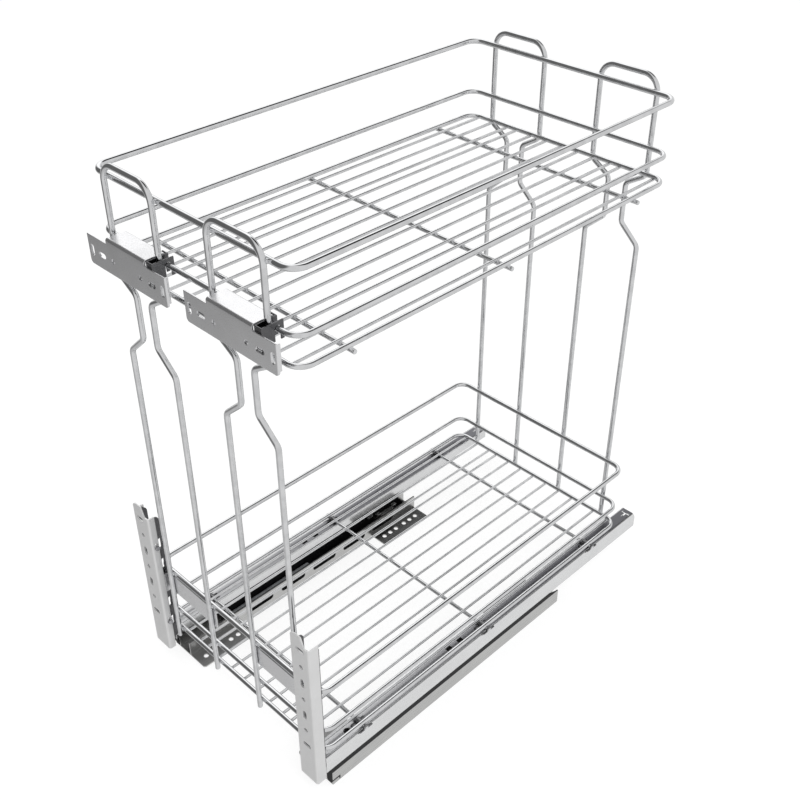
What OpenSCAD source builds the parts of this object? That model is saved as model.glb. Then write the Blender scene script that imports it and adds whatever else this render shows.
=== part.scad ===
// Two-tier pull-out wire basket for a narrow base cabinet, on a pair of full-extension runners.
// +X is to the right, -Y is the way it pulls out, +Z is up. All sizes are in millimetres.
// The origin lies on the cabinet floor, under the middle of the closed assembly.

/* [Baskets] */
// Width between the centre lines of a basket's side wires
basket_w = 238; // [230:1:260]
// Depth between the centre lines of a basket's end wires
basket_d = 440; // [400:5:470]
// Bend radius of the ring corners, at the centre line
ring_corner_r = 13; // [8:1:18]
// Height of the middle ring above the base ring
mid_ring_h = 25.6; // [20:0.2:34]
// Height of the rim above the base ring
rim_h = 76.9; // [68:0.1:90]
// Height of the upper base ring above the lower base ring
tier_h = 415.1; // [360:0.1:460]
// Distance of the two outer cross wires from the middle of the basket
cross_wire_y = 172; // [150:1:180]
// How far the cross wires reach past the side wires' centre lines
cross_wire_reach = 5; // [4:0.5:7]

/* [Floor wires] */
// Number of floor wires in the middle group
inner_wires = 7; // [3:2:7]
// Pitch of the floor wires in the middle group
inner_pitch = 19.33; // [18:0.01:20]
// Number of floor wires in the group beside each side wire
outer_wires = 3; // [1:1:3]
// Pitch of the floor wires beside each side wire
outer_pitch = 19; // [17:0.5:20]
// Distance of the outermost floor wire from the side wire
outer_inset = 11; // [10:0.5:12]

/* [Wire sizes] */
// Diameter of the rim wire
rim_wire_d = 5; // [4:0.1:6]
// Diameter of the middle and base ring wires
ring_wire_d = 4.5; // [3.5:0.1:5.5]
// Diameter of the cross wires
cross_wire_d = 4; // [3.5:0.1:5]
// Diameter of the floor wires
floor_wire_d = 2.8; // [2:0.1:3.4]
// Diameter of the upright wires
upright_d = 5; // [4:0.1:6]

/* [Uprights] */
// Distance of an upright's outer leg from the side wire, between their centre lines
leg_inset = 24; // [20:0.5:28]
// Distance between the two legs of an upright
leg_gap = 62; // [56:0.5:66]
// Distance between the two legs at the neck
neck_gap = 20; // [16:0.5:30]
// Length of the straight neck, between its bends' corners
neck_h = 41; // [30:0.5:60]
// Height of the bends above the neck
upper_bend_h = 13; // [10:0.5:20]
// Height of the bends below the neck
lower_bend_h = 19; // [12:0.5:25]
// Radius of the bends at the neck
neck_bend_r = 8; // [6:0.5:10]
// Depth of the upper bends' top corner below the upper base ring
neck_drop = 4.1; // [4:0.1:12]
// Height of the top loop above the rim
loop_rise = 13; // [10:0.5:30]
// Bend radius of the top loop's corners
loop_bend_r = 15; // [10:0.5:25]
// How far the legs reach below the lower base ring
leg_drop = 6; // [3:0.5:8]

/* [Upper door plates] */
// Gap between the two door plates
plate_mid_gap = 22.6; // [20:0.1:26]
// Height of a door plate, without its raised edge
plate_h = 26; // [22:0.5:32]
// Sheet thickness of the door plates
plate_t = 1.5; // [1.2:0.1:2]
// How far the door face stands in front of the uprights
door_standoff = 8.2; // [7:0.1:12]
// Height of the plate's lower edge above the upper base ring
plate_rise = 0.9; // [0:0.1:4]
// Radius of the plate's lower corners
plate_corner_r = 4; // [2:0.5:6]
// Width of the raised edge
raised_w = 52; // [44:1:56]
// Height of the raised edge
raised_h = 5; // [3:0.5:8]
// Depth of the bent-back lip at the plate's right end
plate_lip = 3.3; // [2.5:0.1:5]
// How far the hook over the middle ring reaches down behind it
hook_drop = 9; // [6:0.5:12]
// Distance of the upright slots from the plate's ends
end_slot_inset = 5.4; // [5:0.1:6]
// Distance of the level slots from the plate's ends
level_slot_inset = 19.2; // [17:0.1:21]
// Distance of the pilot holes from the plate's ends
pilot_inset = 34.2; // [31:0.1:38]

/* [Screw holes] */
// Diameter of the round screw holes in plates and brackets
screw_hole_d = 4.6; // [4:0.1:5]
// Width of the screw slots
slot_w = 4.5; // [4:0.1:5]
// Length of the screw slots, end to end
slot_l = 10; // [8:0.5:12]
// Diameter of the screw holes in the runner feet
foot_hole_d = 5.2; // [4.5:0.1:6]

/* [Lower door brackets] */
// Width of a door bracket
bracket_w = 24; // [22:0.5:26]
// Height of a door bracket up to its shoulder
bracket_h = 175; // [165:1:185]
// Height of the bracket's lower end above the cabinet floor
bracket_z = 21.25; // [16:0.25:26]
// Sheet thickness of the door brackets
bracket_t = 1.5; // [1.2:0.1:2]
// How far a bracket stands outside its runner
bracket_overhang = 2.5; // [2:0.1:4]
// Depth of the outer flange
outer_flange = 11; // [9:0.5:12]
// Depth of the inner flange
inner_flange = 7.5; // [7.2:0.1:8]
// Width of the tongue at the top
tongue_w = 14; // [12:0.5:16]
// Height of the tongue above the shoulder
tongue_h = 10.5; // [8:0.5:14]
// Radius of the tongue's rounded corner
tongue_r = 8; // [4:0.5:10]
// Distance of the hole row from the outer face
hole_inset = 11; // [10.5:0.5:12]
// Depth of the top slot below the shoulder
top_slot_drop = 5.4; // [5:0.1:12]
// Pitch of the seven holes and slots
hole_pitch = 20.4; // [16:0.1:22]
// Sheet thickness of the adjuster channels
adjuster_t = 1.2; // [1:0.1:1.5]
// How far the adjuster ends above the bracket's lower end
adjuster_foot = 12.5; // [8:0.5:20]
// How far the adjuster ends below the bracket's shoulder
adjuster_head = 2.5; // [2:0.5:8]
// Height of the arm between bracket and uprights
arm_h = 22.8; // [16:0.1:28]
// Sheet thickness of the arm
arm_t = 1.5; // [1.2:0.1:2]
// Depth of the arm's top flange
arm_flange = 5.4; // [4:0.1:7]
// Diameter of the height adjusting screws
adjust_screw_d = 3; // [2.5:0.1:3]
// Distance between the height adjusting screws
adjust_screw_gap = 100; // [70:1:110]

/* [Runners] */
// Height of the runners, from the cabinet floor to their top
rail_h = 40.5; // [40:0.1:44]
// Gap between the middle rail's wing and the drawer rail's inner wall
wing_gap = 1.2; // [0.6:0.1:2]
// Sheet thickness of the drawer and middle rails
rail_t = 1.2; // [1:0.1:1.3]
// Clear height in which the rollers run
roller_room = 7.2; // [6.8:0.1:7.4]
// How far the runner's outer face stands outside the side wires' centre lines
rail_overhang = 4.5; // [4:0.1:5]
// Height of the drawer rail's outer wall, its top included
outer_skirt = 17; // [16:0.1:17.5]
// Height of the drawer rail's inner wall, its top included
inner_skirt = 12; // [11.5:0.1:12.5]
// How far the drawer rail reaches behind the basket's end wires
rail_tail = 33.3; // [28:0.1:45]
// How far the drawer and middle rails reach in front of the basket's end wires
rail_nose = 2; // [0:0.1:2.2]
// How far the middle rail ends before the drawer rail, at the back
middle_short = 49.3; // [40:0.1:60]
// How far the cabinet rail starts behind the drawer rail, at the front
cabinet_setback = 6; // [4:0.5:10]
// Length of a cabinet rail
cabinet_rail_l = 331; // [320:1:345]
// Sheet thickness of the cabinet rails
base_t = 1.5; // [1.2:0.1:1.6]
// Width of a cabinet rail
cabinet_rail_w = 27; // [26:0.5:30]
// Height of the cabinet rail's outer wall
outer_wall_h = 17; // [14:0.5:18]
// Height of the cabinet rail's inner wall
inner_wall_h = 18.5; // [16:0.1:19]
// Width of the flange on which the middle rail hangs
hang_flange_w = 6.8; // [6.2:0.1:7]
// Distance of the screw feet's inner edge from the middle of the cabinet
foot_x = 73.5; // [66:0.5:80]
// Length of the front screw foot
front_foot_l = 59; // [55:1:70]
// Distance of the front foot's second pair of holes from its rear edge
front_pair_end = 6.6; // [5:0.1:9]
// Distance of the rear foot's innermost hole from its front edge
rear_foot_end = 9.7; // [6:0.1:14]
// Distance of the outermost foot holes from the ends of the cabinet rail
foot_hole_end = 10.5; // [8:0.5:14]
// Pitch of the foot holes within a group
foot_hole_pitch = 9.4; // [8.5:0.1:10]
// Distance between the two groups of holes in the rear foot
rear_group_gap = 13.2; // [11:0.1:16]
// Distance of the round hole behind the drawer rail's front end
rail_hole_y = 36; // [25:1:60]
// Distance of the first square window behind the drawer rail's front end
rail_window_y = 176; // [150:1:190]
// Pitch of the two square windows
rail_window_pitch = 16; // [12:1:24]

/* [Running gear] */
// Number of rollers at each end of a cage
rollers_per_end = 3; // [2:1:3]
// Pitch of the rollers
roller_pitch = 10; // [9:0.5:11]
// Length of a lower roller
lower_roller_l = 5.6; // [4.5:0.1:5.8]
// Length of an upper roller
upper_roller_l = 8; // [6:0.1:10]
// Length of a lower roller cage
lower_cage_l = 195; // [160:1:200]
// Length of an upper roller cage
upper_cage_l = 245; // [200:1:250]
// Distance of the cages' front ends behind the rails' front ends
cage_setback = 117; // [112:1:125]

/* [Soft close] */
// Width of the soft-close housing
housing_w = 13.2; // [12:0.1:13.5]
// Height of the soft-close housing
housing_h = 16.2; // [14:0.1:16.6]
// Length of the soft-close housing
housing_l = 260; // [240:1:270]
// Wall thickness of the soft-close housing
housing_t = 1.2; // [1:0.1:1.6]
// Distance of the housing behind the cabinet rail's front end
housing_setback = 56; // [50:1:60]
// Outer diameter of the damper cylinder
damper_d = 9.6; // [8:0.1:10]
// Length of the damper cylinder
damper_l = 112; // [100:1:120]
// Diameter of the damper rod
rod_d = 3; // [2:0.1:4]
// Length of the catch block
catch_l = 30; // [24:1:36]
// Travel of the catch while it draws the basket shut
catch_travel = 40; // [30:1:42]

/* [Clearances] */
// Gap between two sheets that slide or lie together
sheet_gap = 0.3; // [0.2:0.05:0.5]
// Gap between a wire and the piece that it is welded to
weld_gap = 0.1; // [0.05:0.05:0.2]
// Gap round the rollers and beside the middle rail
run_gap = 0.3; // [0.2:0.05:0.4]
// Gap between the rod and its bore in the damper
rod_gap = 0.1; // [0.05:0.05:0.2]

/* [Hidden] */
$fn = 48;
// How far a cutting shape reaches past the sheet that it cuts
cut = 1;
// How much thinner the bends of an open wire are, and how many degrees they run into its straights
bend_thinning = 0.08;
bend_overrun = 0.5;

// Heights
cross_z = rail_h + cross_wire_d / 2;
low_z = cross_z + cross_wire_d / 2 + ring_wire_d / 2;
high_z = low_z + tier_h;
loop_z = high_z + rim_h + loop_rise;

// Distances from the middle of the basket, along Y
upright_y = basket_d / 2 + rim_wire_d / 2 + upright_d / 2;
face_reach = upright_y + upright_d / 2 + door_standoff;
tail_reach = basket_d / 2 + rail_tail;
nose_reach = basket_d / 2 + rail_nose;

// Places along Y in the part's own frame
mid_y = (face_reach - tail_reach) / 2;
face_y = mid_y - face_reach;
front_upright_y = mid_y - upright_y;
rail_front = mid_y - nose_reach;
rail_back = mid_y + tail_reach;
middle_back = rail_back - middle_short;
base_front = rail_front + cabinet_setback;
base_back = base_front + cabinet_rail_l;
cage_front = rail_front + cage_setback;

// Distances from the middle plane, along X
upright_x = basket_w / 2 - leg_inset - leg_gap / 2;
rail_x = basket_w / 2 + rail_overhang;
bracket_x = rail_x + bracket_overhang;
leg_inner_x = upright_x - leg_gap / 2;
leg_outer_x = upright_x + leg_gap / 2;

// Heights and widths in a runner; u is measured inwards from its outer face
drawer_under = rail_h - rail_t;
middle_top = drawer_under - roller_room;
middle_under = middle_top - rail_t;
hang_top = middle_under - roller_room;
hang_under = hang_top - base_t;
hang_gap = 1;
middle_wing = 2.2;
middle_wall_u = rail_t + 1;
hang_u = middle_wall_u + rail_t + hang_gap + hang_flange_w / 2;
middle_inner_u = hang_u + hang_flange_w / 2 + hang_gap;
rail_w = middle_inner_u + rail_t + middle_wing + wing_gap + rail_t;
middle_lip = 3;
middle_lip_drop = 1.5;
middle_foot = hang_under - middle_lip_drop - rail_t;
drawer_lip = 3;
skirt_foot = rail_h - outer_skirt;
inner_skirt_foot = rail_h - inner_skirt;
strip_top = skirt_foot - sheet_gap;
roller_d = roller_room - 2 * run_gap;
cage_edge = 1;
lower_cage_u0 = middle_wall_u + rail_t + hang_gap / 2;
lower_cage_u1 = middle_inner_u - hang_gap / 2;
upper_cage_u0 = middle_wall_u + cage_edge / 2;
upper_cage_u1 = middle_inner_u + rail_t + middle_wing - cage_edge / 2;

// Feet of the cabinet rails, and the black caps at their front ends
rear_foot_l = foot_hole_end + 4 * foot_hole_pitch + rear_group_gap + rear_foot_end;
front_pair_y = front_foot_l - front_pair_end - foot_hole_pitch;
front_holes = [foot_hole_end, front_pair_y, front_pair_y + foot_hole_pitch];
rear_group_y = foot_hole_end + 2 * foot_hole_pitch + rear_group_gap;
rear_holes = [for (y = [foot_hole_end, rear_group_y]) for (k = [0 : 2]) y + k * foot_hole_pitch];
foot_u = rail_x - foot_x;
foot_hole_u = (cabinet_rail_w + foot_u) / 2;
cap_l = 17;
cap_face = 1.2;

// Upper door plates
plate_z = high_z + plate_rise;
plate_w = 2 * upright_x - plate_mid_gap;
clip_t = 1.2;
clip_cheek = upright_d / 2 + sheet_gap;
raised_x1 = leg_gap / 2 - clip_cheek - clip_t - sheet_gap;
raised_x0 = raised_x1 - raised_w;
hook_back = mid_y - basket_d / 2 + ring_wire_d / 2 + sheet_gap + plate_t;

// Adjusters and arms; v is measured inwards from the bracket's outer face
adjuster_front = face_y + bracket_t + sheet_gap;
adjuster_back = mid_y - basket_d / 2 - max(rim_wire_d, ring_wire_d) / 2 - sheet_gap;
adjuster_v0 = bracket_t + sheet_gap;
adjuster_v1 = bracket_w - bracket_t - sheet_gap;
adjuster_z0 = bracket_z + adjuster_foot;
adjuster_z1 = bracket_z + bracket_h - adjuster_head;
arm_top = low_z + rim_h - rim_wire_d / 2 - weld_gap;
arm_y = front_upright_y + upright_d / 2 + weld_gap;
arm_inner_x = leg_inner_x - upright_d;
screw_edge_gap = 0.5;
screw_y = adjuster_front + adjuster_t + screw_edge_gap + adjust_screw_d / 2;
screw_mid_z = bracket_z + bracket_h / 2;

// Soft close
housing_u = cabinet_rail_w - base_t - sheet_gap - housing_w;
housing_front = base_front + housing_setback;
housing_back = housing_front + housing_l;
damper_u = housing_u + housing_w / 2;
damper_z = base_t + housing_t + damper_d / 2 + weld_gap;
damper_front = housing_front + housing_t;
damper_back = damper_front + damper_l;
catch_end_gap = 10;
catch_back = housing_back - housing_t - catch_end_gap;
catch_front = catch_back - catch_l;
rod_inside = 10;
bore_end_gap = 5;
bore_l = rod_inside + catch_travel + bore_end_gap;
tab_l = 8;
tab_gap = 0.8;
tab_lead = 12;
tab_top = inner_skirt_foot + rail_t;
tab_foot = base_t + housing_h + tab_gap;
tab_y = catch_front - tab_lead;

STEEL = "#b9bcbf";
CHROME = "#d4d7da";
DARK_STEEL = "#6f7275";
BLACK = "#1b1c1e";
GREY = "#8c9094";

// ---- Helpers ----

// A box between two corners
module block(x0, x1, y0, y1, z0, z1) {
    translate([x0, y0, z0]) cube([x1 - x0, y1 - y0, z1 - z0]);
}

// A flat rectangle between two corners
module patch(x0, x1, y0, y1) {
    translate([x0, y0]) square([x1 - x0, y1 - y0]);
}

// A profile drawn in X and Z, run along Y from y0 to y1
module along_y(y0, y1) {
    translate([0, y1, 0]) rotate([90, 0, 0]) linear_extrude(y1 - y0) children();
}

// A profile drawn in Y and Z, run along X from x0 to x1
module along_x(x0, x1) {
    translate([x0, 0, 0]) rotate([90, 0, 90]) linear_extrude(x1 - x0) children();
}

// A slot of full length l and width w; turned by 90 it stands upright
module slot(l, w, turn = 0) {
    rotate(turn) union() {
        square([l - w, w], center = true);
        for (s = [-1, 1]) translate([s * (l - w) / 2, 0]) circle(d = w);
    }
}

// What a rounded corner takes off a square one: corner at the origin, sheet towards +X and +Y
module corner_waste(r) {
    difference() {
        translate([-cut, -cut]) square(r + cut);
        translate([r, r]) circle(r);
    }
}

// Puts a runner piece on its side; its own X is u, measured inwards from the runner's outer face
module runner(side) {
    if (side > 0) translate([rail_x, 0, 0]) mirror([1, 0, 0]) children();
    else translate([-rail_x, 0, 0]) children();
}

// Puts a bracket piece on its side; its own X is v, measured inwards from the bracket's outer face
module bracket_side(side) {
    if (side > 0) translate([bracket_x, 0, 0]) mirror([1, 0, 0]) children();
    else translate([-bracket_x, 0, 0]) children();
}

// ---- Bent wires ----

function flat(p) = [p[0], p[1]];
function heading(a, b) = atan2(b[1] - a[1], b[0] - a[0]);
function wrap(a) = a > 180 ? a - 360 : a <= -180 ? a + 360 : a;
function turn_at(p, i, n) = wrap(heading(p[i], p[(i + 1) % n]) - heading(p[(i + n - 1) % n], p[i]));
function bend_cut(p, i, n) = p[i][2] * tan(abs(turn_at(p, i, n)) / 2);

// A wire of diameter d in the XY plane through corner points [x, y, bend radius].
// A closed wire joins its last corner to its first; an open one has radius 0 at both ends.
// On an open wire the bends are a hair thinner, as drawn wire is there, and run a little into the straights.
module wire(corners, d, closed = false) {
    n = len(corners);
    for (i = [0 : closed ? n - 1 : n - 2]) {
        a = corners[i];
        b = corners[(i + 1) % n];
        run = norm(flat(b) - flat(a));
        skip = a[2] == 0 ? 0 : bend_cut(corners, i, n);
        stop = b[2] == 0 ? 0 : bend_cut(corners, (i + 1) % n, n);
        translate([a[0], a[1], 0]) rotate(heading(a, b)) translate([skip, 0, 0])
            rotate([0, 90, 0]) cylinder(d = d, h = run - skip - stop);
    }
    for (i = [0 : n - 1]) if (corners[i][2] > 0) {
        turn = turn_at(corners, i, n);
        hand = turn > 0 ? 1 : -1;
        way = heading(corners[(i + n - 1) % n], corners[i]);
        back = bend_cut(corners, i, n);
        more = closed ? 0 : bend_overrun;
        translate([corners[i][0], corners[i][1], 0]) rotate(way)
            translate([-back, hand * corners[i][2], 0]) rotate((hand > 0 ? -90 : 90 + turn) - more)
            rotate_extrude(angle = abs(turn) + 2 * more) translate([corners[i][2], 0])
            circle(d = closed ? d : d - bend_thinning);
    }
}

// ---- Baskets ----

module ring(z, d) {
    x = basket_w / 2;
    y = basket_d / 2;
    r = ring_corner_r;
    color(CHROME) translate([0, mid_y, z])
        wire([[x, -y, r], [x, y, r], [-x, y, r], [-x, -y, r]], d, closed = true);
}

// Half length of a floor wire at x, ending at the inside of the base ring
function floor_wire_reach(x) =
    let(past = max(0, abs(x) + floor_wire_d / 2 - (basket_w / 2 - ring_corner_r)))
    let(inner_r = ring_corner_r - ring_wire_d / 2)
    basket_d / 2 - ring_corner_r + sqrt(max(0, inner_r * inner_r - past * past)) - weld_gap;

module floor_wires(z) {
    inner = [for (k = [0 : inner_wires - 1]) (k - (inner_wires - 1) / 2) * inner_pitch];
    outer = [for (s = [-1, 1]) for (k = [0 : outer_wires - 1])
        s * (basket_w / 2 - outer_inset - k * outer_pitch)];
    wire_z = z - ring_wire_d / 2 + floor_wire_d / 2;
    color(CHROME) for (x = concat(inner, outer)) {
        reach = floor_wire_reach(x);
        translate([x, mid_y + reach, wire_z]) rotate([90, 0, 0]) cylinder(d = floor_wire_d, h = 2 * reach);
    }
}

module cross_wires(z) {
    reach = basket_w / 2 + cross_wire_reach;
    color(CHROME) for (k = [-1, 0, 1])
        translate([-reach, mid_y + k * cross_wire_y, z - ring_wire_d / 2 - cross_wire_d / 2])
            rotate([0, 90, 0]) cylinder(d = cross_wire_d, h = 2 * reach);
}

module lower_base_ring() ring(low_z, ring_wire_d);
module lower_mid_ring() ring(low_z + mid_ring_h, ring_wire_d);
module lower_rim_ring() ring(low_z + rim_h, rim_wire_d);
module lower_floor_wires() floor_wires(low_z);
module lower_cross_wires() cross_wires(low_z);
module upper_base_ring() ring(high_z, ring_wire_d);
module upper_mid_ring() ring(high_z + mid_ring_h, ring_wire_d);
module upper_rim_ring() ring(high_z + rim_h, rim_wire_d);
module upper_floor_wires() floor_wires(high_z);
module upper_cross_wires() cross_wires(high_z);

// ---- Uprights ----

// One wire bent up, drawn in to a neck under the upper basket, and closed by a loop over its rim
module upright(side, end) {
    wide = leg_gap / 2;
    slim = neck_gap / 2;
    z4 = high_z - neck_drop;
    z3 = z4 - upper_bend_h;
    z2 = z3 - neck_h;
    z1 = z2 - lower_bend_h;
    foot = low_z - leg_drop;
    r = neck_bend_r;
    leg = [[wide, foot, 0], [wide, z1, r], [slim, z2, r], [slim, z3, r], [wide, z4, r], [wide, loop_z, loop_bend_r]];
    other = [for (i = [len(leg) - 1 : -1 : 0]) [-leg[i][0], leg[i][1], leg[i][2]]];
    color(CHROME) translate([side * upright_x, mid_y + end * upright_y, 0]) rotate([90, 0, 0])
        wire(concat(leg, other), upright_d);
}

module front_left_upright() upright(-1, -1);
module front_right_upright() upright(1, -1);
module rear_left_upright() upright(-1, 1);
module rear_right_upright() upright(1, 1);

// ---- Upper door plates ----

// The plate is drawn about the middle of the upright that carries it.
// Its raised edge passes between the legs and hooks over the middle ring.
module door_plate(side) {
    half = plate_w / 2;
    color(STEEL) translate([side * upright_x, 0, plate_z]) {
        along_y(face_y, face_y + plate_t) difference() {
            union() {
                patch(-half, half, 0, plate_h);
                patch(raised_x0, raised_x1, plate_h - cut, plate_h + raised_h);
            }
            translate([-half, 0]) corner_waste(plate_corner_r);
            translate([half, 0]) mirror([1, 0]) corner_waste(plate_corner_r);
            translate([0, plate_h / 2]) for (s = [-1, 1]) {
                translate([s * (half - end_slot_inset), 0]) slot(slot_l, slot_w, 90);
                translate([s * (half - level_slot_inset), 0]) slot(slot_l, slot_w);
                translate([s * (half - pilot_inset), 0]) circle(d = screw_hole_d);
            }
        }
        block(raised_x0, raised_x1, face_y, hook_back, plate_h + raised_h - plate_t, plate_h + raised_h);
        block(raised_x0, raised_x1, hook_back - plate_t, hook_back, plate_h + raised_h - hook_drop,
            plate_h + raised_h);
        block(half - plate_t, half, face_y, face_y + plate_lip, plate_corner_r, plate_h);
    }
}

// The clip stands on the plate's back, grips the right leg and hooks down over the middle ring
module plate_clip(side) {
    t = clip_t;
    cheek = clip_cheek;
    wall = 3;
    pad_gap = 2;
    ear_l = 6;
    slot_gap = 1;
    back = face_y + plate_t;
    leg_x = leg_gap / 2;
    ring_y = mid_y - basket_d / 2;
    ring_z = high_z + mid_ring_h;
    slot_half = ring_wire_d / 2 + sheet_gap;
    top = ring_z + slot_half + wall;
    foot = plate_z + plate_h / 2 + pad_gap;
    end = ring_y + slot_half + wall;
    pad_foot = plate_z + pad_gap;
    color(DARK_STEEL) translate([side * upright_x + leg_x, 0, 0]) {
        for (s = [-1, 1]) difference() {
            block(s > 0 ? cheek : -cheek - t, s > 0 ? cheek + t : -cheek, back, end, foot, top);
            along_x(-2 * cheek - t, 2 * cheek + t) {
                translate([ring_y, ring_z]) circle(slot_half);
                patch(ring_y - slot_half, ring_y + slot_half, foot - cut, ring_z);
            }
        }
        difference() {
            block(-cheek - t, cheek + t, back, back + t, pad_foot, top);
            along_y(back - cut, back + t + cut) translate([0, plate_z + plate_h / 2])
                square([2 * cheek, slot_w + slot_gap], center = true);
        }
        block(-cheek - t - ear_l, -cheek - t / 2, end - t, end, ring_z - slot_half, top);
    }
}

module left_door_plate() door_plate(-1);
module right_door_plate() door_plate(1);
module left_plate_clip() plate_clip(-1);
module right_plate_clip() plate_clip(1);

// ---- Lower door brackets ----

// Distances of the bracket's holes below its shoulder, and what each is
function hole_z(k) = bracket_z + bracket_h - top_slot_drop - k * hole_pitch;

module bracket_holes() {
    for (k = [0 : 6]) translate([0, hole_z(k)]) {
        if (k == 0 || k == 6) slot(slot_l, slot_w);
        else if (k % 2 == 0) slot(slot_l, slot_w, 90);
        else circle(d = screw_hole_d);
    }
}

// Both brackets are cut alike, with the tongue to the left; their flanges are mirrored
module door_bracket(side) {
    x0 = side < 0 ? -bracket_x : bracket_x - bracket_w;
    shoulder = bracket_z + bracket_h;
    slant = 4;
    color(STEEL) {
        along_y(face_y, face_y + bracket_t) difference() {
            union() {
                patch(x0, x0 + bracket_w, bracket_z, shoulder);
                polygon([[x0, shoulder - cut], [x0 + tongue_w + slant, shoulder - cut],
                    [x0 + tongue_w + slant, shoulder], [x0 + tongue_w, shoulder + tongue_h],
                    [x0, shoulder + tongue_h]]);
            }
            translate([x0, shoulder + tongue_h]) mirror([0, 1]) corner_waste(tongue_r);
            translate([side * (bracket_x - hole_inset), 0]) bracket_holes();
        }
        bracket_side(side) {
            block(0, bracket_t, face_y, face_y + outer_flange, bracket_z, shoulder);
            difference() {
                block(bracket_w - bracket_t, bracket_w, face_y, face_y + inner_flange, bracket_z, shoulder);
                for (s = [-1, 1])
                    translate([bracket_w - bracket_t - cut, screw_y, screw_mid_z + s * adjust_screw_gap / 2])
                    rotate([0, 90, 0]) cylinder(d = adjust_screw_d + 2 * rod_gap, h = bracket_t + 2 * cut);
            }
        }
    }
}

// The channel inside the bracket; its long slots let the bracket move up and down on its screws
module adjuster(side) {
    window = 12;
    edge = 6;
    wall_front = adjuster_front;
    teeth = 5;
    tooth_l = 12;
    tooth_w = 2.6;
    tooth_inset = 3;
    tooth_pitch = 26;
    long_slot = 22;
    head_r = 5;
    color(DARK_STEEL) bracket_side(side) difference() {
        union() {
            block(adjuster_v0, adjuster_v1, wall_front, wall_front + adjuster_t, adjuster_z0, adjuster_z1);
            block(adjuster_v0, adjuster_v0 + adjuster_t, wall_front, adjuster_back, adjuster_z0, adjuster_z1);
            block(adjuster_v1 - adjuster_t, adjuster_v1, wall_front, adjuster_back, adjuster_z0, adjuster_z1);
        }
        block(hole_inset - window / 2, hole_inset + window / 2, wall_front - cut, wall_front + adjuster_t + cut,
            adjuster_z0 + edge, adjuster_z1 + cut);
        for (s = [-1, 1]) along_x(adjuster_v1 - adjuster_t - cut, adjuster_v1 + cut)
            translate([screw_y, screw_mid_z + s * adjust_screw_gap / 2])
                slot(long_slot, adjust_screw_d + 2 * rod_gap, 90);
        for (k = [0 : teeth - 1]) along_x(adjuster_v1 - adjuster_t - cut, adjuster_v1 + cut)
            translate([adjuster_back - tooth_inset, screw_mid_z + (k - (teeth - 1) / 2) * tooth_pitch])
                slot(tooth_l, tooth_w, 90);
        for (v = [adjuster_v0, adjuster_v1 - adjuster_t]) along_x(v - cut, v + adjuster_t + cut)
            translate([adjuster_back, adjuster_z1]) rotate(180) corner_waste(head_r);
    }
}

// The arm that ties the bracket to both legs of its upright, under the lower rim
module arm(side) {
    end_x = bracket_x - adjuster_v1;
    color(STEEL) if (side > 0) arm_sheet(end_x);
    else mirror([1, 0, 0]) arm_sheet(end_x);
}

module arm_sheet(end_x) {
    block(arm_inner_x, end_x, arm_y, arm_y + arm_t, arm_top - arm_h, arm_top);
    block(arm_inner_x, end_x, arm_y, arm_y + arm_flange, arm_top - arm_t, arm_top);
    block(end_x - arm_t, end_x, face_y + inner_flange + sheet_gap, arm_y + arm_t, arm_top - arm_h, arm_top);
}

// Two screws that hold the bracket's inner flange against the adjuster
module bracket_screws(side) {
    head_h = 2.1;
    head_d = 5;
    tip_l = 1;
    tip = adjuster_v1 - adjuster_t - tip_l;
    color(GREY) bracket_side(side)
        for (s = [-1, 1]) translate([0, screw_y, screw_mid_z + s * adjust_screw_gap / 2]) rotate([0, 90, 0]) {
            translate([0, 0, tip]) cylinder(d = adjust_screw_d, h = bracket_w - tip + head_h / 2);
            translate([0, 0, bracket_w]) cylinder(d = head_d, h = head_h);
        }
}

module left_door_bracket() door_bracket(-1);
module right_door_bracket() door_bracket(1);
module left_adjuster() adjuster(-1);
module right_adjuster() adjuster(1);
module left_arm() arm(-1);
module right_arm() arm(1);
module left_bracket_screws() bracket_screws(-1);
module right_bracket_screws() bracket_screws(1);

// ---- Runners ----

// Straps that hold the cross wires down on a drawer rail, one on each side of the base ring's side wire
module wire_clips(side) {
    t = 1.2;
    foot = 8;
    ring_gap = 0.7;
    floor_gap = 0.5;
    bore = cross_wire_d / 2 + weld_gap;
    spans = [[0, rail_overhang - ring_wire_d / 2 - sheet_gap],
        [rail_overhang + ring_wire_d / 2 + ring_gap, rail_overhang + outer_inset - floor_wire_d / 2 - floor_gap]];
    color(DARK_STEEL) runner(side) for (k = [-1, 0, 1]) for (span = spans)
        translate([0, mid_y + k * cross_wire_y, cross_z]) along_x(span[0], span[1]) difference() {
            union() {
                circle(bore + t);
                patch(-foot, foot, -cross_wire_d / 2, -cross_wire_d / 2 + t);
            }
            circle(bore);
            patch(-bore, bore, -cross_wire_d, 0);
            patch(-foot - cut, foot + cut, -cross_wire_d - t, -cross_wire_d / 2);
        }
}

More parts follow.
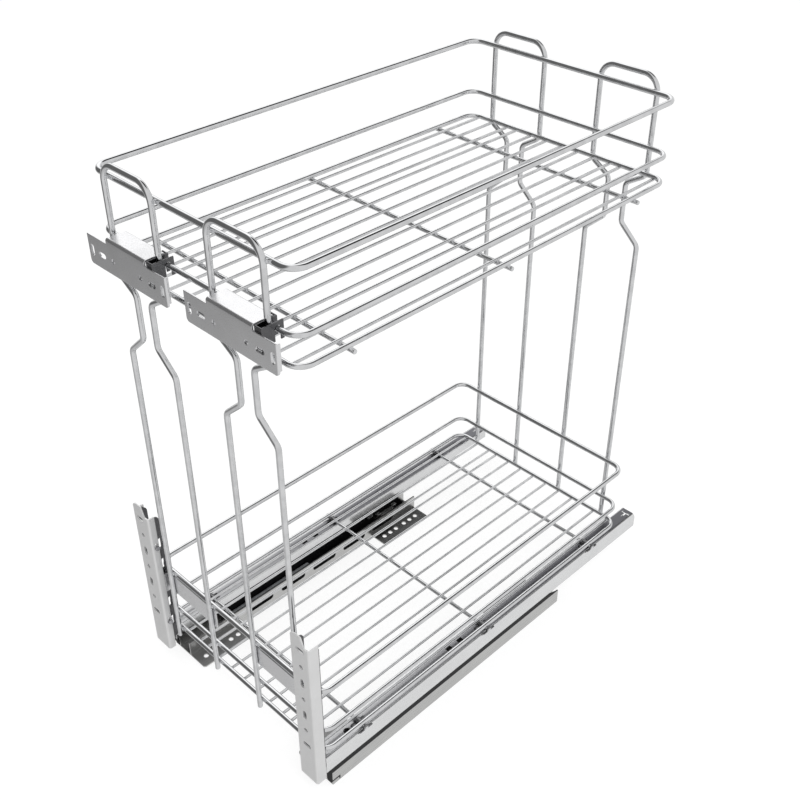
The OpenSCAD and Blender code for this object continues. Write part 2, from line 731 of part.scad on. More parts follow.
// The rail that carries the basket: a channel, open below, with a lip under the middle rail's wing
module drawer_rail(side) {
    hole_u = 11.5;
    hole_d = 7;
    square_u = 12.5;
    window_w = 6;
    window_l = 7;
    bar_l = 10;
    bar_w = 2;
    bar_end = 5;
    stem_l = 9;
    color(STEEL) runner(side) {
        difference() {
            along_y(rail_front, rail_back) {
                patch(0, rail_w, drawer_under, rail_h);
                patch(0, rail_t, skirt_foot, rail_h);
                patch(rail_w - rail_t, rail_w, inner_skirt_foot, rail_h);
                patch(rail_w - rail_t - drawer_lip, rail_w, inner_skirt_foot, inner_skirt_foot + rail_t);
            }
            translate([0, 0, drawer_under - cut]) linear_extrude(rail_t + 2 * cut) {
                translate([hole_u, rail_front + rail_hole_y]) circle(d = hole_d);
                for (k = [0, 1])
                    translate([square_u, rail_front + rail_window_y + k * rail_window_pitch])
                    square([window_w, window_l], center = true);
                translate([rail_w / 2, rail_back - bar_end]) {
                    patch(-bar_l / 2, bar_l / 2, -bar_w, 0);
                    patch(-bar_w / 2, bar_w / 2, -stem_l, -bar_w / 2);
                }
            }
        }
        block(rail_w - rail_t, rail_w, tab_y, tab_y + tab_l, tab_foot, tab_top);
    }
}

// The rail between: it wraps the hanging flange below, and its wing runs over the drawer rail's lip
module middle_rail(side) {
    inner = middle_inner_u;
    color(STEEL) runner(side) along_y(rail_front, middle_back) {
        patch(middle_wall_u, inner + rail_t + middle_wing, middle_under, middle_top);
        patch(middle_wall_u, middle_wall_u + rail_t, middle_foot, middle_top);
        patch(inner, inner + rail_t, middle_foot, middle_top);
        patch(middle_wall_u, middle_wall_u + rail_t + middle_lip, middle_foot, middle_foot + rail_t);
        patch(inner - middle_lip, inner + rail_t, middle_foot, middle_foot + rail_t);
    }
}

// The groove near the front of the outer wall, which the front cap's hook fills
module hook_outline() {
    hook_l = 9.5;
    hook_foot = 4.5;
    hook_w = 2;
    barb_l = 1.5;
    patch(base_front, base_front + hook_l, hook_foot, hook_foot + hook_w);
    patch(base_front + hook_l - barb_l, base_front + hook_l, base_t, hook_foot + hook_w);
}

// The rail that is screwed to the cabinet floor
module cabinet_rail(side) {
    web = base_t / 2;
    window_l = 34;
    window_h = 7;
    window_pitch = 46;
    first_window = 38;
    foot_r = 3;
    color(STEEL) runner(side) {
        difference() {
            along_y(base_front, base_back) {
                patch(0, cabinet_rail_w, 0, base_t);
                patch(0, base_t, 0, outer_wall_h);
                patch(hang_u - web, hang_u + web, 0, hang_top);
                patch(hang_u - hang_flange_w / 2, hang_u + hang_flange_w / 2, hang_under, hang_top);
                patch(cabinet_rail_w - base_t, cabinet_rail_w, 0, inner_wall_h);
            }
            for (k = [0 : 4]) along_x(cabinet_rail_w - base_t - cut, cabinet_rail_w + cut)
                translate([housing_front + first_window + k * window_pitch, base_t + housing_h / 2])
                slot(window_l, window_h);
            along_x(-cut, base_t) hook_outline();
        }
        linear_extrude(base_t) difference() {
            union() {
                patch(cabinet_rail_w - cut, foot_u, base_front, base_front + front_foot_l);
                patch(cabinet_rail_w - cut, foot_u, base_back - rear_foot_l, base_back);
            }
            for (y = [base_front, base_back - rear_foot_l]) translate([foot_u, y]) rotate(90) corner_waste(foot_r);
            for (y = [base_front + front_foot_l, base_back]) translate([foot_u, y]) rotate(180) corner_waste(foot_r);
            for (y = front_holes) translate([foot_hole_u, base_front + y]) circle(d = foot_hole_d);
            for (y = rear_holes) translate([foot_hole_u, base_back - y]) circle(d = foot_hole_d);
        }
    }
}

// The black strip on the outer wall, under the drawer rail's skirt
module guide_strip(side) {
    slant = 18;
    end_gap = 2;
    front = base_front + cap_l;
    back = base_back - end_gap;
    color(BLACK) runner(side) along_x(0, base_t)
        polygon([[front, outer_wall_h], [back, outer_wall_h], [back - slant, strip_top], [front, strip_top]]);
}

// The black cap that closes the front of the rail and guides the skirt on to it
module front_cap(side) {
    plug_l = 9;
    plug_u = hang_u - base_t / 2 - sheet_gap;
    plug_top = middle_foot - sheet_gap;
    face_foot = 4.5;
    color(BLACK) runner(side) {
        block(0, plug_u, base_front - cap_face, base_front, face_foot, plug_top);
        block(base_t, plug_u, base_front - cap_face / 2, base_front + plug_l, base_t, plug_top);
        block(0, base_t, base_front - cap_face, base_front + cap_l, outer_wall_h, strip_top);
        along_x(0, base_t + cap_face / 2) hook_outline();
    }
}

// ---- Running gear ----

// Distances of the rollers from the front end of a cage of length l
function roller_places(l) = let(end = 8)
    [for (k = [0 : rollers_per_end - 1]) end + k * roller_pitch,
    for (k = [0 : rollers_per_end - 1]) l - end - k * roller_pitch];

module cage(side, u0, u1, z0, z1, l, roller_l) {
    mid_u = (u0 + u1) / 2;
    pocket_u = roller_l / 2 + run_gap;
    pocket_y = roller_d / 2 + run_gap;
    color(BLACK) runner(side) difference() {
        block(u0, u1, cage_front, cage_front + l, z0, z1);
        for (y = roller_places(l))
            block(mid_u - pocket_u, mid_u + pocket_u, cage_front + y - pocket_y, cage_front + y + pocket_y,
                z0 - cut, z1 + cut);
    }
}

module rollers(side, mid_u, z, l, roller_l) {
    color(GREY) runner(side) for (y = roller_places(l))
        translate([mid_u - roller_l / 2, cage_front + y, z]) rotate([0, 90, 0]) cylinder(d = roller_d, h = roller_l);
}

module lower_cage(side)
    cage(side, lower_cage_u0, lower_cage_u1, hang_top + cage_edge, middle_under - cage_edge, lower_cage_l,
        lower_roller_l);
module upper_cage(side)
    cage(side, upper_cage_u0, upper_cage_u1, middle_top + cage_edge, drawer_under - cage_edge, upper_cage_l,
        upper_roller_l);
module lower_rollers(side)
    rollers(side, hang_u, hang_top + roller_room / 2, lower_cage_l, lower_roller_l);
module upper_rollers(side)
    rollers(side, (upper_cage_u0 + upper_cage_u1) / 2, middle_top + roller_room / 2, upper_cage_l, upper_roller_l);

// ---- Soft close ----

// A black trough, open on top, in which the damper and the catch lie
module soft_close_housing(side) {
    color(BLACK) runner(side) difference() {
        block(housing_u, housing_u + housing_w, housing_front, housing_back, base_t, base_t + housing_h);
        block(housing_u + housing_t, housing_u + housing_w - housing_t, housing_front + housing_t,
            housing_back - housing_t, base_t + housing_t, base_t + housing_h + cut);
    }
}

module damper(side) {
    color(GREY) runner(side) translate([damper_u, damper_back, damper_z]) rotate([90, 0, 0]) difference() {
        cylinder(d = damper_d, h = damper_l);
        translate([0, 0, -cut]) cylinder(d = rod_d + 2 * rod_gap, h = bore_l + cut);
    }
}

module damper_rod(side) {
    color(CHROME) runner(side) translate([damper_u, catch_front, damper_z]) rotate([90, 0, 0])
        cylinder(d = rod_d, h = catch_front - damper_back + rod_inside);
}

// The catch slides in the trough; its two prongs stand beside the tab of the drawer rail
module catch(side) {
    body_top = 12;
    claw_gap = 0.4;
    claw_edge = 1.3;
    prong_l = 5;
    prong_over = 2;
    inner_u = housing_u + housing_w - housing_t - sheet_gap;
    claw_u = rail_w + claw_gap;
    claw_w = inner_u - claw_edge - claw_u;
    prong_top = tab_foot + prong_over;
    color(STEEL) runner(side) {
        block(housing_u + housing_t + sheet_gap, inner_u, catch_front, catch_back,
            base_t + housing_t + weld_gap, body_top);
        block(claw_u, claw_u + claw_w, catch_front, catch_back, body_top - cut, base_t + housing_h - cut);
        for (y = [catch_front, catch_back - prong_l])
            block(claw_u, claw_u + claw_w, y, y + prong_l, body_top - cut, prong_top);
    }
}

module left_wire_clips() wire_clips(-1);
module right_wire_clips() wire_clips(1);
module left_drawer_rail() drawer_rail(-1);
module right_drawer_rail() drawer_rail(1);
module left_middle_rail() middle_rail(-1);
module right_middle_rail() middle_rail(1);
module left_cabinet_rail() cabinet_rail(-1);
module right_cabinet_rail() cabinet_rail(1);
module left_guide_strip() guide_strip(-1);
module right_guide_strip() guide_strip(1);
module left_front_cap() front_cap(-1);
module right_front_cap() front_cap(1);
module left_lower_cage() lower_cage(-1);
module right_lower_cage() lower_cage(1);
module left_upper_cage() upper_cage(-1);
module right_upper_cage() upper_cage(1);
module left_lower_rollers() lower_rollers(-1);
module right_lower_rollers() lower_rollers(1);
module left_upper_rollers() upper_rollers(-1);
module right_upper_rollers() upper_rollers(1);
module left_soft_close_housing() soft_close_housing(-1);
module right_soft_close_housing() soft_close_housing(1);
module left_damper() damper(-1);
module right_damper() damper(1);
module left_catch() catch(-1);
module right_catch() catch(1);
module left_damper_rod() damper_rod(-1);
module right_damper_rod() damper_rod(1);

lower_base_ring();
lower_mid_ring();
lower_rim_ring();
lower_floor_wires();
lower_cross_wires();
upper_base_ring();
upper_mid_ring();
upper_rim_ring();
upper_floor_wires();
upper_cross_wires();
front_left_upright();
front_right_upright();
rear_left_upright();
rear_right_upright();
left_door_plate();
right_door_plate();
left_plate_clip();
right_plate_clip();
left_door_bracket();
right_door_bracket();
left_adjuster();
right_adjuster();
left_arm();
right_arm();
left_bracket_screws();
right_bracket_screws();
left_wire_clips();
right_wire_clips();
left_drawer_rail();
right_drawer_rail();
left_middle_rail();
right_middle_rail();
left_cabinet_rail();
right_cabinet_rail();
left_guide_strip();
right_guide_strip();
left_front_cap();
right_front_cap();
left_lower_cage();
right_lower_cage();
left_upper_cage();
right_upper_cage();
left_lower_rollers();
right_lower_rollers();
left_upper_rollers();
right_upper_rollers();
left_soft_close_housing();
right_soft_close_housing();
left_damper();
right_damper();
left_catch();
right_catch();
left_damper_rod();
right_damper_rod();
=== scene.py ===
"""Two-tier pull-out wire basket on runners, dressed for rendering.

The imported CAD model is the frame. Wires, sheet pieces and rails are drawn, rolled and punched
here in their real sizes, and stand for the CAD nodes of the same place. Sizes are millimetres
in the classes and metres in Blender.
"""
from __future__ import annotations

import logging
import math
from dataclasses import dataclass
from enum import Enum
from typing import Callable, Iterable, Sequence

import bmesh
import bpy
from bpy.types import Material, Node, NodeSocket, NodeTree, Object
from mathutils import Matrix, Vector

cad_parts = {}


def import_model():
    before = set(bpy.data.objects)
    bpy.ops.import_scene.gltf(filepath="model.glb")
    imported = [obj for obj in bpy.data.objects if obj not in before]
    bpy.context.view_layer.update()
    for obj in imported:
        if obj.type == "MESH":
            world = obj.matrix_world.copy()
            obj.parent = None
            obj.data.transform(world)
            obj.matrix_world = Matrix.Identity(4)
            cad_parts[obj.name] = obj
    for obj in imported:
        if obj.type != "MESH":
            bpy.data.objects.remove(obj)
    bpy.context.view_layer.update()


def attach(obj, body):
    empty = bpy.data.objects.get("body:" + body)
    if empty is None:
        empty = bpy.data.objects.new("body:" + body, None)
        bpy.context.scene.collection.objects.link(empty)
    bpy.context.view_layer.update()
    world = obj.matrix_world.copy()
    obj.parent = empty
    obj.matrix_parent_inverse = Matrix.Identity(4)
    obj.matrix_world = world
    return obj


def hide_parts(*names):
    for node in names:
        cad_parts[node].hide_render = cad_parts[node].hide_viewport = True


LOG = logging.getLogger("pull_out_basket")
MM = 0.001
Point = tuple[float, float, float]

# Corners closer than these, in millimetres, become one: of a CAD copy, of a wire and of a cut sheet.
COPY_MERGE = 0.002
WIRE_MERGE = 0.001
SHEET_MERGE = 0.004

# A corner nearer than this to a fold's line, in millimetres, lies on it.
ON_FOLD = 0.01

# Folds sharper than these, in degrees, stay sharp in the shading: of a wire, a weld, a sheet and a CAD copy.
WIRE_CREASE = 40.0
WELD_CREASE = 60.0
SHEET_CREASE = 50.0
COPY_CREASE = 60.0

# Degrees of a bend that one row of faces takes, and the fewest rows in a bend.
WIRE_STEP = 6.0
FOLD_STEP = 13.0
LEAST_STEPS = 3

# Faces across a broken edge.
EDGE_SEGMENTS = 2


class Side(Enum):
    """Which side of the cabinet a piece stands on; the value is the sign of X."""

    LEFT = -1
    RIGHT = 1

    @property
    def word(self) -> str:
        """The side's word in piece and node names."""
        return self.name.lower()


class End(Enum):
    """Which end of the basket a piece stands at; the value is the sign of Y."""

    FRONT = -1
    REAR = 1

    @property
    def word(self) -> str:
        """The end's word in piece and node names."""
        return self.name.lower()


# ---- Workshop: small helpers round Blender's own tools ----


def deselect() -> None:
    """Leaves nothing selected and nothing active."""
    for obj in bpy.context.selected_objects:
        obj.select_set(False)
    bpy.context.view_layer.objects.active = None


def activate(obj: Object) -> None:
    """Makes an object the only selected and the active one.

    Args:
        obj: The object.
    """
    deselect()
    obj.select_set(True)
    bpy.context.view_layer.objects.active = obj


def settle(obj: Object) -> None:
    """Puts obj's place, turn and scale into its mesh."""
    activate(obj)
    bpy.ops.object.transform_apply(location=True, rotation=True, scale=True)


def name_piece(obj: Object, name: str) -> Object:
    """Names an object and its mesh alike.

    Args:
        obj: The object.
        name: Its new name.

    Returns:
        The object.
    """
    obj.name = name
    obj.data.name = name
    return obj


def select_edges(obj: Object, test: Callable[[Vector], bool]) -> None:
    """Selects, in edit mode, the edges whose two ends pass a test.

    Args:
        obj: The object in edit mode.
        test: Takes an end's place in metres and says whether it counts.
    """
    bpy.ops.mesh.select_mode(type="EDGE")
    bpy.ops.mesh.select_all(action="DESELECT")
    mesh = bmesh.from_edit_mesh(obj.data)
    for edge in mesh.edges:
        if all(test(obj.matrix_world @ v.co) for v in edge.verts):
            edge.select_set(True)
    mesh.select_flush_mode()
    bmesh.update_edit_mesh(obj.data)


def extrude(step: Vector) -> None:
    """Extrudes what is selected in edit mode, by a step in metres."""
    bpy.ops.mesh.extrude_region_move(TRANSFORM_OT_translate={"value": step})


def face_outwards() -> None:
    """Turns every face of the mesh in edit mode outwards."""
    bpy.ops.mesh.select_all(action="SELECT")
    bpy.ops.mesh.normals_make_consistent(inside=False)


def apply_modifier(obj: Object, kind: str, **settings: object) -> None:
    """Adds a modifier of that kind, sets it and applies it.

    Args:
        obj: The piece.
        kind: The modifier's type, such as "BEVEL".
        **settings: Its properties by name.
    """
    activate(obj)
    modifier = obj.modifiers.new(kind.title(), kind)
    for key, value in settings.items():
        setattr(modifier, key, value)
    bpy.ops.object.modifier_apply(modifier=modifier.name)


def break_edges(obj: Object, width: float, angle: float) -> None:
    """Rounds every edge sharper than an angle, as deburring or a mould's radius does.

    Args:
        obj: The piece.
        width: Width of the rounding, in millimetres.
        angle: Least angle between two faces, in degrees.
    """
    apply_modifier(obj, "BEVEL", width=width * MM, segments=EDGE_SEGMENTS, limit_method="ANGLE",
                   angle_limit=math.radians(angle), use_clamp_overlap=True)


def smooth(obj: Object, angle: float) -> None:
    """Shades an object smooth, apart from edges sharper than an angle in degrees."""
    activate(obj)
    bpy.ops.object.shade_smooth_by_angle(angle=math.radians(angle))


def flatten_shading(obj: Object) -> None:
    """Lets large flat faces keep their own normals, so only the roundings between them shade."""
    apply_modifier(obj, "WEIGHTED_NORMAL", mode="FACE_AREA", weight=100, keep_sharp=True)


def join(pieces: Sequence[Object], name: str) -> Object:
    """Joins pieces into one object.

    Args:
        pieces: The pieces, which become one.
        name: Its name.

    Returns:
        The object.
    """
    deselect()
    for piece in pieces:
        piece.select_set(True)
    bpy.context.view_layer.objects.active = pieces[0]
    if len(pieces) > 1:
        bpy.ops.object.join()
    return name_piece(bpy.context.view_layer.objects.active, name)


def copy_of_node(node: str, name: str) -> Object:
    """Copies a CAD node's mesh, merges its loose triangles and clears flat faces of their inner edges.

    Args:
        node: The CAD node.
        name: The copy's name.

    Returns:
        The copy, at the origin.
    """
    source = bpy.data.objects[node]
    mesh = bpy.data.meshes.new(name)
    mesh.from_pydata([source.matrix_world @ v.co for v in source.data.vertices], [],
                     [tuple(p.vertices) for p in source.data.polygons])
    copy = bpy.data.objects.new(name, mesh)
    bpy.context.scene.collection.objects.link(copy)
    activate(copy)
    bpy.ops.object.mode_set(mode="EDIT")
    bpy.ops.mesh.select_all(action="SELECT")
    bpy.ops.mesh.remove_doubles(threshold=COPY_MERGE * MM)
    bpy.ops.mesh.dissolve_limited(angle_limit=math.radians(1))
    bpy.ops.object.mode_set(mode="OBJECT")
    return name_piece(copy, name)


def mount(obj: Object, finish: "Finish", body: str, *nodes: str) -> Object:
    """Dresses a finished piece, rides it on a body and lets it stand for CAD nodes.

    Args:
        obj: The piece.
        finish: Its finish.
        body: The CAD body that it moves with.
        *nodes: The CAD nodes that it stands for.

    Returns:
        The piece.
    """
    obj.data.materials.clear()
    obj.data.materials.append(finish.material())
    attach(obj, body)
    if nodes:
        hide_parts(*nodes)
    stands_for = ", ".join(nodes) or "itself"
    LOG.info("%s: %d faces on %s, for %s", obj.name, len(obj.data.polygons), body, stands_for)
    return obj


# ---- Finishes ----


class Nodes:
    """A node tree with short calls to add and link nodes."""

    def __init__(self, tree: NodeTree) -> None:
        """Keeps the tree and empties it."""
        self.tree = tree
        tree.nodes.clear()

    def feed(self, socket: NodeSocket, value: object) -> None:
        """Gives a socket its value, or links it to the output that value is.

        Args:
            socket: The input.
            value: A number, a vector, a colour or another node's output.
        """
        if isinstance(value, NodeSocket):
            self.tree.links.new(value, socket)
        else:
            socket.default_value = value

    def add(self, kind: str, **values: object) -> Node:
        """Adds a node.

        Args:
            kind: The node's type, without "ShaderNode".
            **values: Properties, or inputs where "in_" stands before the socket's name or number.

        Returns:
            The new node.
        """
        node = self.tree.nodes.new("ShaderNode" + kind)
        for key, value in values.items():
            if not key.startswith("in_"):
                setattr(node, key, value)
        for key, value in values.items():
            if key.startswith("in_"):
                socket = key[3:].replace("_", " ")
                self.feed(node.inputs[int(socket) if socket.isdigit() else socket], value)
        return node

    def math(self, operation: str, a: object, b: object, clamp: bool = False) -> NodeSocket:
        """The result of one arithmetic step on two numbers or sockets."""
        return self.add("Math", operation=operation, use_clamp=clamp, in_0=a, in_1=b).outputs[0]

    def plus(self, a: object, b: object, clamp: bool = False) -> NodeSocket:
        """The sum of two numbers or sockets."""
        return self.math("ADD", a, b, clamp)

    def times(self, a: object, b: object, clamp: bool = False) -> NodeSocket:
        """The product of two numbers or sockets."""
        return self.math("MULTIPLY", a, b, clamp)

    def dot(self, a: object, b: object) -> NodeSocket:
        """The dot product of two vectors."""
        return self.add("VectorMath", operation="DOT_PRODUCT", in_0=a, in_1=b).outputs["Value"]

    def ramp(self, value: NodeSocket, low: float, high: float,
             out_low: float = 0.0, out_high: float = 1.0) -> NodeSocket:
        """A smooth step of value from low to high, between two outputs."""
        return self.add("MapRange", interpolation_type="SMOOTHSTEP", in_0=value, in_1=low, in_2=high,
                        in_3=out_low, in_4=out_high).outputs[0]

    def noise(self, place: NodeSocket, size: NodeSocket, detail: float) -> NodeSocket:
        """Cloudy noise with features of a size in millimetres."""
        scale = self.math("DIVIDE", 1 / MM, size)
        return self.add("TexNoise", in_Vector=place, in_Scale=scale, in_Detail=detail).outputs["Fac"]


class Effect:
    """A shader node group that several finishes use, built once.

    Attributes:
        name: The group's name.
        inputs: Name, socket type and value of each input.
        outputs: The names of its outputs, which are all numbers.
    """

    name: str = "effect"
    inputs: tuple[tuple[str, str, float], ...] = ()
    outputs: tuple[str, ...] = ()

    @classmethod
    def tree(cls) -> NodeTree:
        """Finds the group's node tree, or makes it at the first call.

        Returns:
            The tree.
        """
        known = bpy.data.node_groups.get(cls.name)
        if known:
            return known
        tree = bpy.data.node_groups.new(cls.name, "ShaderNodeTree")
        for name, kind, value in cls.inputs:
            socket = tree.interface.new_socket(name, in_out="INPUT", socket_type=kind)
            if kind == "NodeSocketFloat":
                socket.default_value = value
        for name in cls.outputs:
            tree.interface.new_socket(name, in_out="OUTPUT", socket_type="NodeSocketFloat")
        nodes = Nodes(tree)
        ends = tree.nodes.new("NodeGroupInput"), tree.nodes.new("NodeGroupOutput")
        cls.wire_up(nodes, *ends)
        return tree

    @classmethod
    def wire_up(cls, nodes: Nodes, given: Node, result: Node) -> None:
        """Makes the nodes between the group's input and output."""
        raise NotImplementedError

    @classmethod
    def use(cls, nodes: Nodes, **values: object) -> list[NodeSocket]:
        """Places the group in a material.

        Args:
            nodes: The material's nodes.
            **values: Its inputs by name, with _ for a space.

        Returns:
            The group's outputs in order.
        """
        node = nodes.tree.nodes.new("ShaderNodeGroup")
        node.node_tree = cls.tree()
        for key, value in values.items():
            nodes.feed(node.inputs[key.replace("_", " ")], value)
        return list(node.outputs)


class PlatingClouds(Effect):
    """Slow and fine changes of tone that a plating bath leaves."""

    name = "plating clouds"
    inputs = (("Vector", "NodeSocketVector", 0), ("Cloud Size", "NodeSocketFloat", 12.0),
              ("Speck Size", "NodeSocketFloat", 0.6))
    outputs = ("Clouds", "Specks")

    @classmethod
    def wire_up(cls, nodes: Nodes, given: Node, result: Node) -> None:
        """Two noises, with their feature sizes in millimetres.

        Args:
            nodes: The group's nodes.
            given: The group's input node.
            result: The group's output node.
        """
        for size, output, detail in (("Cloud Size", "Clouds", 3.0), ("Speck Size", "Specks", 1.0)):
            noise = nodes.noise(given.outputs["Vector"], given.outputs[size], detail)
            nodes.feed(result.inputs[output], nodes.ramp(noise, 0.3, 0.7))


class BrushedGrain(Effect):
    """Fine parallel lines of a rolled or brushed sheet, along one axis."""

    name = "brushed grain"
    inputs = (("Vector", "NodeSocketVector", 0), ("Line Width", "NodeSocketFloat", 0.35),
              ("Stretch", "NodeSocketFloat", 60.0))
    outputs = ("Height", "Scratches")

    @classmethod
    def wire_up(cls, nodes: Nodes, given: Node, result: Node) -> None:
        """Noise squeezed across the lines, and a sparse second layer for scratches.

        Args:
            nodes: The group's nodes.
            given: The group's input node.
            result: The group's output node.
        """
        sparser = 0.31
        squeeze = nodes.math("DIVIDE", 1.0, given.outputs["Stretch"])
        stretch = nodes.add("CombineXYZ", in_X=1.0, in_Y=squeeze, in_Z=1.0)
        along = nodes.add("VectorMath", operation="MULTIPLY", in_0=given.outputs["Vector"],
                          in_1=stretch.outputs[0]).outputs[0]
        scale = nodes.math("DIVIDE", 1 / MM, given.outputs["Line Width"])
        lines = nodes.add("TexNoise", in_Vector=along, in_Scale=scale, in_Detail=2.0)
        nodes.feed(result.inputs["Height"], lines.outputs["Fac"])
        sparse = nodes.add("TexNoise", in_Vector=along, in_Scale=nodes.times(scale, sparser), in_Detail=4.0)
        nodes.feed(result.inputs["Scratches"], nodes.ramp(sparse.outputs["Fac"], 0.62, 0.7))


class EdgeWear(Effect):
    """A broken mask along edges, where handling has polished them."""

    name = "edge wear"
    inputs = (("Vector", "NodeSocketVector", 0), ("Reach", "NodeSocketFloat", 0.5),
              ("Patch Size", "NodeSocketFloat", 3.0))
    outputs = ("Wear",)

    @classmethod
    def wire_up(cls, nodes: Nodes, given: Node, result: Node) -> None:
        """Places within reach of an edge, in millimetres, thinned out by noise.

        Args:
            nodes: The group's nodes.
            given: The group's input node.
            result: The group's output node.
        """
        flat = nodes.add("NewGeometry").outputs["True Normal"]
        rounded = nodes.add("Bevel", samples=4, in_Radius=nodes.times(given.outputs["Reach"], MM))
        edge = nodes.ramp(nodes.dot(rounded.outputs[0], flat), 0.995, 0.9)
        patches = nodes.noise(given.outputs["Vector"], given.outputs["Patch Size"], 3.0)
        nodes.feed(result.inputs["Wear"], nodes.times(edge, nodes.ramp(patches, 0.35, 0.6), clamp=True))


class SettledDust(Effect):
    """A thin, uneven layer of dust on faces that look up."""

    name = "settled dust"
    inputs = (("Vector", "NodeSocketVector", 0), ("Patch Size", "NodeSocketFloat", 20.0))
    outputs = ("Dust",)

    @classmethod
    def wire_up(cls, nodes: Nodes, given: Node, result: Node) -> None:
        """The upward share of the normal, broken up by noise.

        Args:
            nodes: The group's nodes.
            given: The group's input node.
            result: The group's output node.
        """
        split = nodes.add("SeparateXYZ", in_0=nodes.add("NewGeometry").outputs["Normal"])
        patches = nodes.noise(given.outputs["Vector"], given.outputs["Patch Size"], 5.0)
        dust = nodes.times(nodes.ramp(split.outputs["Z"], 0.5, 1.0), nodes.ramp(patches, 0.4, 0.75))
        nodes.feed(result.inputs["Dust"], dust)


@dataclass(frozen=True)
class Finish:
    """What every finish has.

    Attributes:
        name: Its name, and its material's.
        slot: The slot that it belongs to. It is not used.
    """

    name: str
    slot: str

    def material(self) -> Material:
        """Finds the finish's material, or makes it at the first call.

        Returns:
            The material.
        """
        known = bpy.data.materials.get(self.name)
        if known:
            return known
        material = bpy.data.materials.new(self.name)
        material.use_nodes = True
        nodes = Nodes(material.node_tree)
        shader = nodes.add("BsdfPrincipled")
        nodes.add("OutputMaterial", in_Surface=shader.outputs[0])
        self.dress(nodes, shader, nodes.add("TexCoord").outputs["Object"])
        return material

    def dress(self, nodes: Nodes, shader: Node, place: NodeSocket) -> None:
        """Feeds the shader. Each kind of finish has its own."""
        raise NotImplementedError

    @staticmethod
    def mix(nodes: Nodes, factor: object, a: object, b: object) -> NodeSocket:
        """Blends two colours.

        Args:
            nodes: The material's nodes.
            factor: The share of the second one.
            a: The first colour, as red, green and blue or as another node's output.
            b: The second colour.

        Returns:
            The blend.
        """
        node = nodes.add("Mix", data_type="RGBA", in_0=factor)
        for number, value in ((6, a), (7, b)):
            nodes.feed(node.inputs[number], value if isinstance(value, NodeSocket) else (*value, 1.0))
        return node.outputs[2]

    @staticmethod
    def emboss(nodes: Nodes, shader: Node, height: NodeSocket, relief: float, strength: float) -> None:
        """Lets a height of so many millimetres turn the shader's normal."""
        bump = nodes.add("Bump", in_Strength=strength, in_Distance=relief * MM, in_Height=height)
        nodes.feed(shader.inputs["Normal"], bump.outputs[0])


@dataclass(frozen=True)
class Chrome(Finish):
    """Bright plating over drawn wire.

    Attributes:
        bright: Its colour where the plating is thick.
        dull: Its colour where it is thin.
        roughness: Its middle roughness.
        spread: Least and most roughness, as shares of that.
        dust_roughness: What dust adds to it.
        ripple: Height of the wire's ripple, in millimetres.
        speck_share: How much of that height the fine specks have.
        strength: How strongly the ripple shows.
    """

    bright: Point = (0.80, 0.805, 0.815)
    dull: Point = (0.70, 0.705, 0.715)
    roughness: float = 0.055
    spread: tuple[float, float] = (0.7, 1.5)
    dust_roughness: float = 0.06
    ripple: float = 0.0012
    speck_share: float = 0.05
    strength: float = 0.35

    def dress(self, nodes: Nodes, shader: Node, place: NodeSocket) -> None:
        """Nearly a mirror, with clouds of thinner plating and the wire's faint ripple.

        Args:
            nodes: The material's nodes.
            shader: The shader to feed.
            place: The object's coordinates.
        """
        clouds, specks = PlatingClouds.use(nodes, Vector=place, Cloud_Size=9.0, Speck_Size=0.7)
        dust, = SettledDust.use(nodes, Vector=place, Patch_Size=14.0)
        low, high = (self.roughness * share for share in self.spread)
        rough = nodes.add("MapRange", in_0=clouds, in_3=low, in_4=high).outputs[0]
        shader.inputs["Metallic"].default_value = 1.0
        nodes.feed(shader.inputs["Base Color"], self.mix(nodes, clouds, self.bright, self.dull))
        nodes.feed(shader.inputs["Roughness"], nodes.plus(rough, nodes.times(dust, self.dust_roughness)))
        self.emboss(nodes, shader, nodes.plus(clouds, nodes.times(specks, self.speck_share)), self.ripple,
                    self.strength)


